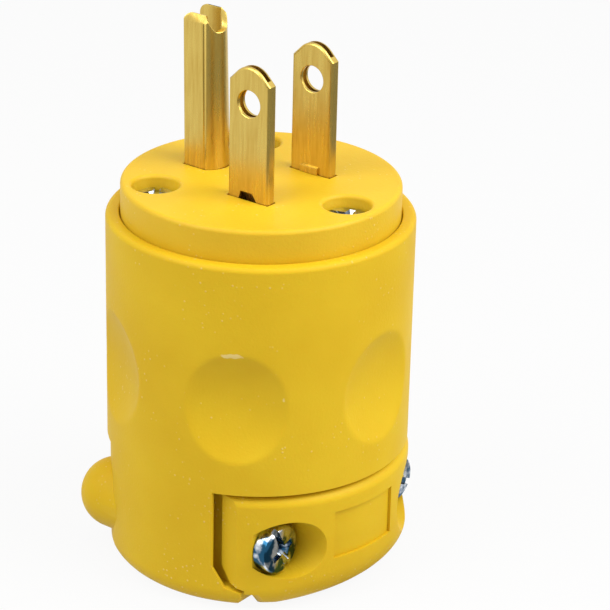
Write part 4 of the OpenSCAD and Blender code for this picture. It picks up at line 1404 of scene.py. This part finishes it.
class PLUG_OT_inner_parts(bpy.types.Operator):
    """Give the terminals, the block and the nuts their finishes"""

    bl_idname = "plug.inner_parts"
    bl_label = "Inner parts"

    def execute(self, context):
        finishes = {
            "terminal_block": block_thermoset(context),
            "neutral_terminal_screw": nickel_plate(context),
            "neutral_wire_plate": nickel_plate(context),
            "hot_terminal_screw": contact_brass(context),
            "hot_wire_plate": contact_brass(context),
            "ground_terminal_screw": green_plate(context),
            "ground_wire_plate": nickel_plate(context),
            "clamp_nut_near": bright_zinc(context),
            "clamp_nut_far": bright_zinc(context),
        }
        for node, material in finishes.items():
            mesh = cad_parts[node].data
            mesh.materials.clear()
            mesh.materials.append(material)
        return {"FINISHED"}


class PLUG_OT_stage(bpy.types.Operator):
    """Set up the floor, the camera and the studio light"""

    bl_idname = "plug.stage"
    bl_label = "Stage"

    def execute(self, context):
        scene = context.scene
        settings = scene.plug_stage
        scene.view_settings.view_transform = "Standard"
        self.floor(scene, settings)
        self.card(scene, settings)
        self.camera(scene, settings)
        self.lamp("right softbox", settings, settings.right_power, beside=70, elevation=42)
        self.lamp("left softbox", settings, settings.left_power, beside=-60, elevation=42)
        self.lamp("top softbox", settings, settings.top_power, beside=20, elevation=80)
        self.world(scene, settings)
        return {"FINISHED"}

    def seen(self, tree):
        """Value that is 1 where the background is looked at, directly, in metal or through glass."""
        ray = add_node(tree, "ShaderNodeLightPath", {}).outputs
        mirrored = add_node(tree, "ShaderNodeMath",
                            {0: ray["Is Glossy Ray"], 1: ray["Is Transmission Ray"]},
                            operation="MAXIMUM")
        return add_node(tree, "ShaderNodeMath",
                        {0: ray["Is Camera Ray"], 1: mirrored.outputs["Value"]},
                        operation="MAXIMUM").outputs["Value"]

    def floor(self, scene, settings):
        """A large pale floor. It looks white, keeps the plug's shadow and throws back soft light."""
        bpy.ops.object.select_all(action="DESELECT")
        bpy.ops.mesh.primitive_plane_add(size=6, location=(0, 0, 0))
        plane = bpy.context.object
        plane.name = "floor"
        material = bpy.data.materials.new("pale studio floor")
        material.use_nodes = True
        material.cycles.emission_sampling = "NONE"
        tree = material.node_tree
        matte = tree.nodes["Principled BSDF"]
        set_inputs(tree, matte, {"Base Color": scene.plug_finishes.floor, "Roughness": 1,
                                 "Specular IOR Level": 0})
        share = add_node(tree, "ShaderNodeMath",
                         {0: self.seen(tree), 1: settings.floor_white}, operation="MULTIPLY")
        white = add_node(tree, "ShaderNodeEmission", {})
        look = add_node(tree, "ShaderNodeMixShader",
                        {0: share.outputs["Value"], 1: matte.outputs["BSDF"],
                         2: white.outputs["Emission"]})
        set_inputs(tree, tree.nodes["Material Output"], {"Surface": look.outputs["Shader"]})
        plane.data.materials.append(material)

    def card(self, scene, settings):
        """A dark card that lies beside the plug and is seen in reflections only."""
        width, near, lift = 800 * MM, 18 * MM, 0.3 * MM
        beside = math.radians(45)
        turned = settings.azimuth + beside
        centre = direction(turned, 0) * (near + width / 2) + Vector((0, 0, lift))
        bpy.ops.object.select_all(action="DESELECT")
        bpy.ops.mesh.primitive_plane_add(size=width, location=centre, rotation=(0, 0, turned))
        plane = bpy.context.object
        plane.name = "card"
        plane.visible_camera = False
        plane.visible_diffuse = False
        plane.visible_transmission = False
        plane.visible_shadow = False
        material = bpy.data.materials.new("dark card")
        material.use_nodes = True
        tree = material.node_tree
        set_inputs(tree, tree.nodes["Principled BSDF"],
                   {"Base Color": scene.plug_finishes.card, "Roughness": 1, "Specular IOR Level": 0})
        plane.data.materials.append(material)

    def camera(self, scene, settings):
        """A camera that looks at the aim from a distance, turned by its roll."""
        data = bpy.data.cameras.new("camera")
        camera = bpy.data.objects.new("camera", data)
        scene.collection.objects.link(camera)
        back = direction(settings.azimuth, settings.elevation)
        camera.location = Vector(settings.aim) + back * settings.distance
        camera.rotation_mode = "QUATERNION"
        level = (-back).to_track_quat("-Z", "Y")
        camera.rotation_quaternion = level @ Quaternion((0, 0, 1), settings.roll)
        data.sensor_width = 36
        data.lens = settings.lens
        data.clip_start = 0.01
        scene.camera = camera

    def lamp(self, name, settings, power, beside, elevation):
        """A square softbox that faces the plug, beside the camera by an angle in degrees."""
        data = bpy.data.lights.new(name, "AREA")
        data.size = settings.lamp_size
        data.energy = power
        lamp = bpy.data.objects.new(name, data)
        bpy.context.scene.collection.objects.link(lamp)
        towards = direction(settings.azimuth + math.radians(beside), math.radians(elevation))
        lamp.location = Vector(settings.aim) + towards * settings.lamp_distance
        lamp.rotation_euler = towards.to_track_quat("Z", "Y").to_euler()

    def world(self, scene, settings):
        """Even white light from the room, which is white where it is looked at."""
        world = bpy.data.worlds.new("room")
        scene.world = world
        world.use_nodes = True
        tree = world.node_tree
        strength = add_node(tree, "ShaderNodeMapRange",
                            {"Value": self.seen(tree), "To Min": settings.world})
        set_inputs(tree, tree.nodes["Background"],
                   {"Color": (1, 1, 1, 1), "Strength": strength.outputs["Result"]})


def direction(azimuth, elevation):
    """Unit vector from the plug: azimuth 0 is towards -Y and 90 degrees towards +X."""
    flat = math.cos(elevation)
    return Vector((math.sin(azimuth) * flat, -math.cos(azimuth) * flat, math.sin(elevation)))


class PLUG_PT_panel(bpy.types.Panel):
    """Lists the pieces of the plug"""

    bl_label = "Power plug"
    bl_idname = "PLUG_PT_panel"
    bl_space_type = "VIEW_3D"
    bl_region_type = "UI"
    bl_category = "Plug"

    def draw(self, context):
        for operator in OPERATORS:
            self.layout.operator(operator.bl_idname)


GROUPS = {
    "plug_body": BodySizes,
    "plug_face": FaceSizes,
    "plug_contacts": ContactSizes,
    "plug_clamp": ClampSizes,
    "plug_finishes": Finishes,
    "plug_stage": StageSettings,
}
OPERATORS = (
    PLUG_OT_stage,
    PLUG_OT_body,
    PLUG_OT_face,
    PLUG_OT_blades,
    PLUG_OT_ground_pin,
    PLUG_OT_clamp,
    PLUG_OT_clamp_screws,
    PLUG_OT_face_screws,
    PLUG_OT_inner_parts,
)


def register():
    for group in GROUPS.values():
        bpy.utils.register_class(group)
    for name, group in GROUPS.items():
        setattr(bpy.types.Scene, name, bpy.props.PointerProperty(type=group))
    for cls in (*OPERATORS, PLUG_PT_panel):
        bpy.utils.register_class(cls)


def unregister():
    for cls in (PLUG_PT_panel, *reversed(OPERATORS)):
        bpy.utils.unregister_class(cls)
    for name, group in reversed(GROUPS.items()):
        delattr(bpy.types.Scene, name)
        bpy.utils.unregister_class(group)


def main():
    register()
    bpy.ops.plug.stage()
    bpy.ops.plug.body()
    bpy.ops.plug.face()
    bpy.ops.plug.blades()
    bpy.ops.plug.ground_pin()
    bpy.ops.plug.clamp()
    bpy.ops.plug.clamp_screws()
    bpy.ops.plug.face_screws()
    bpy.ops.plug.inner_parts()


if __name__ == "__main__":
    main()
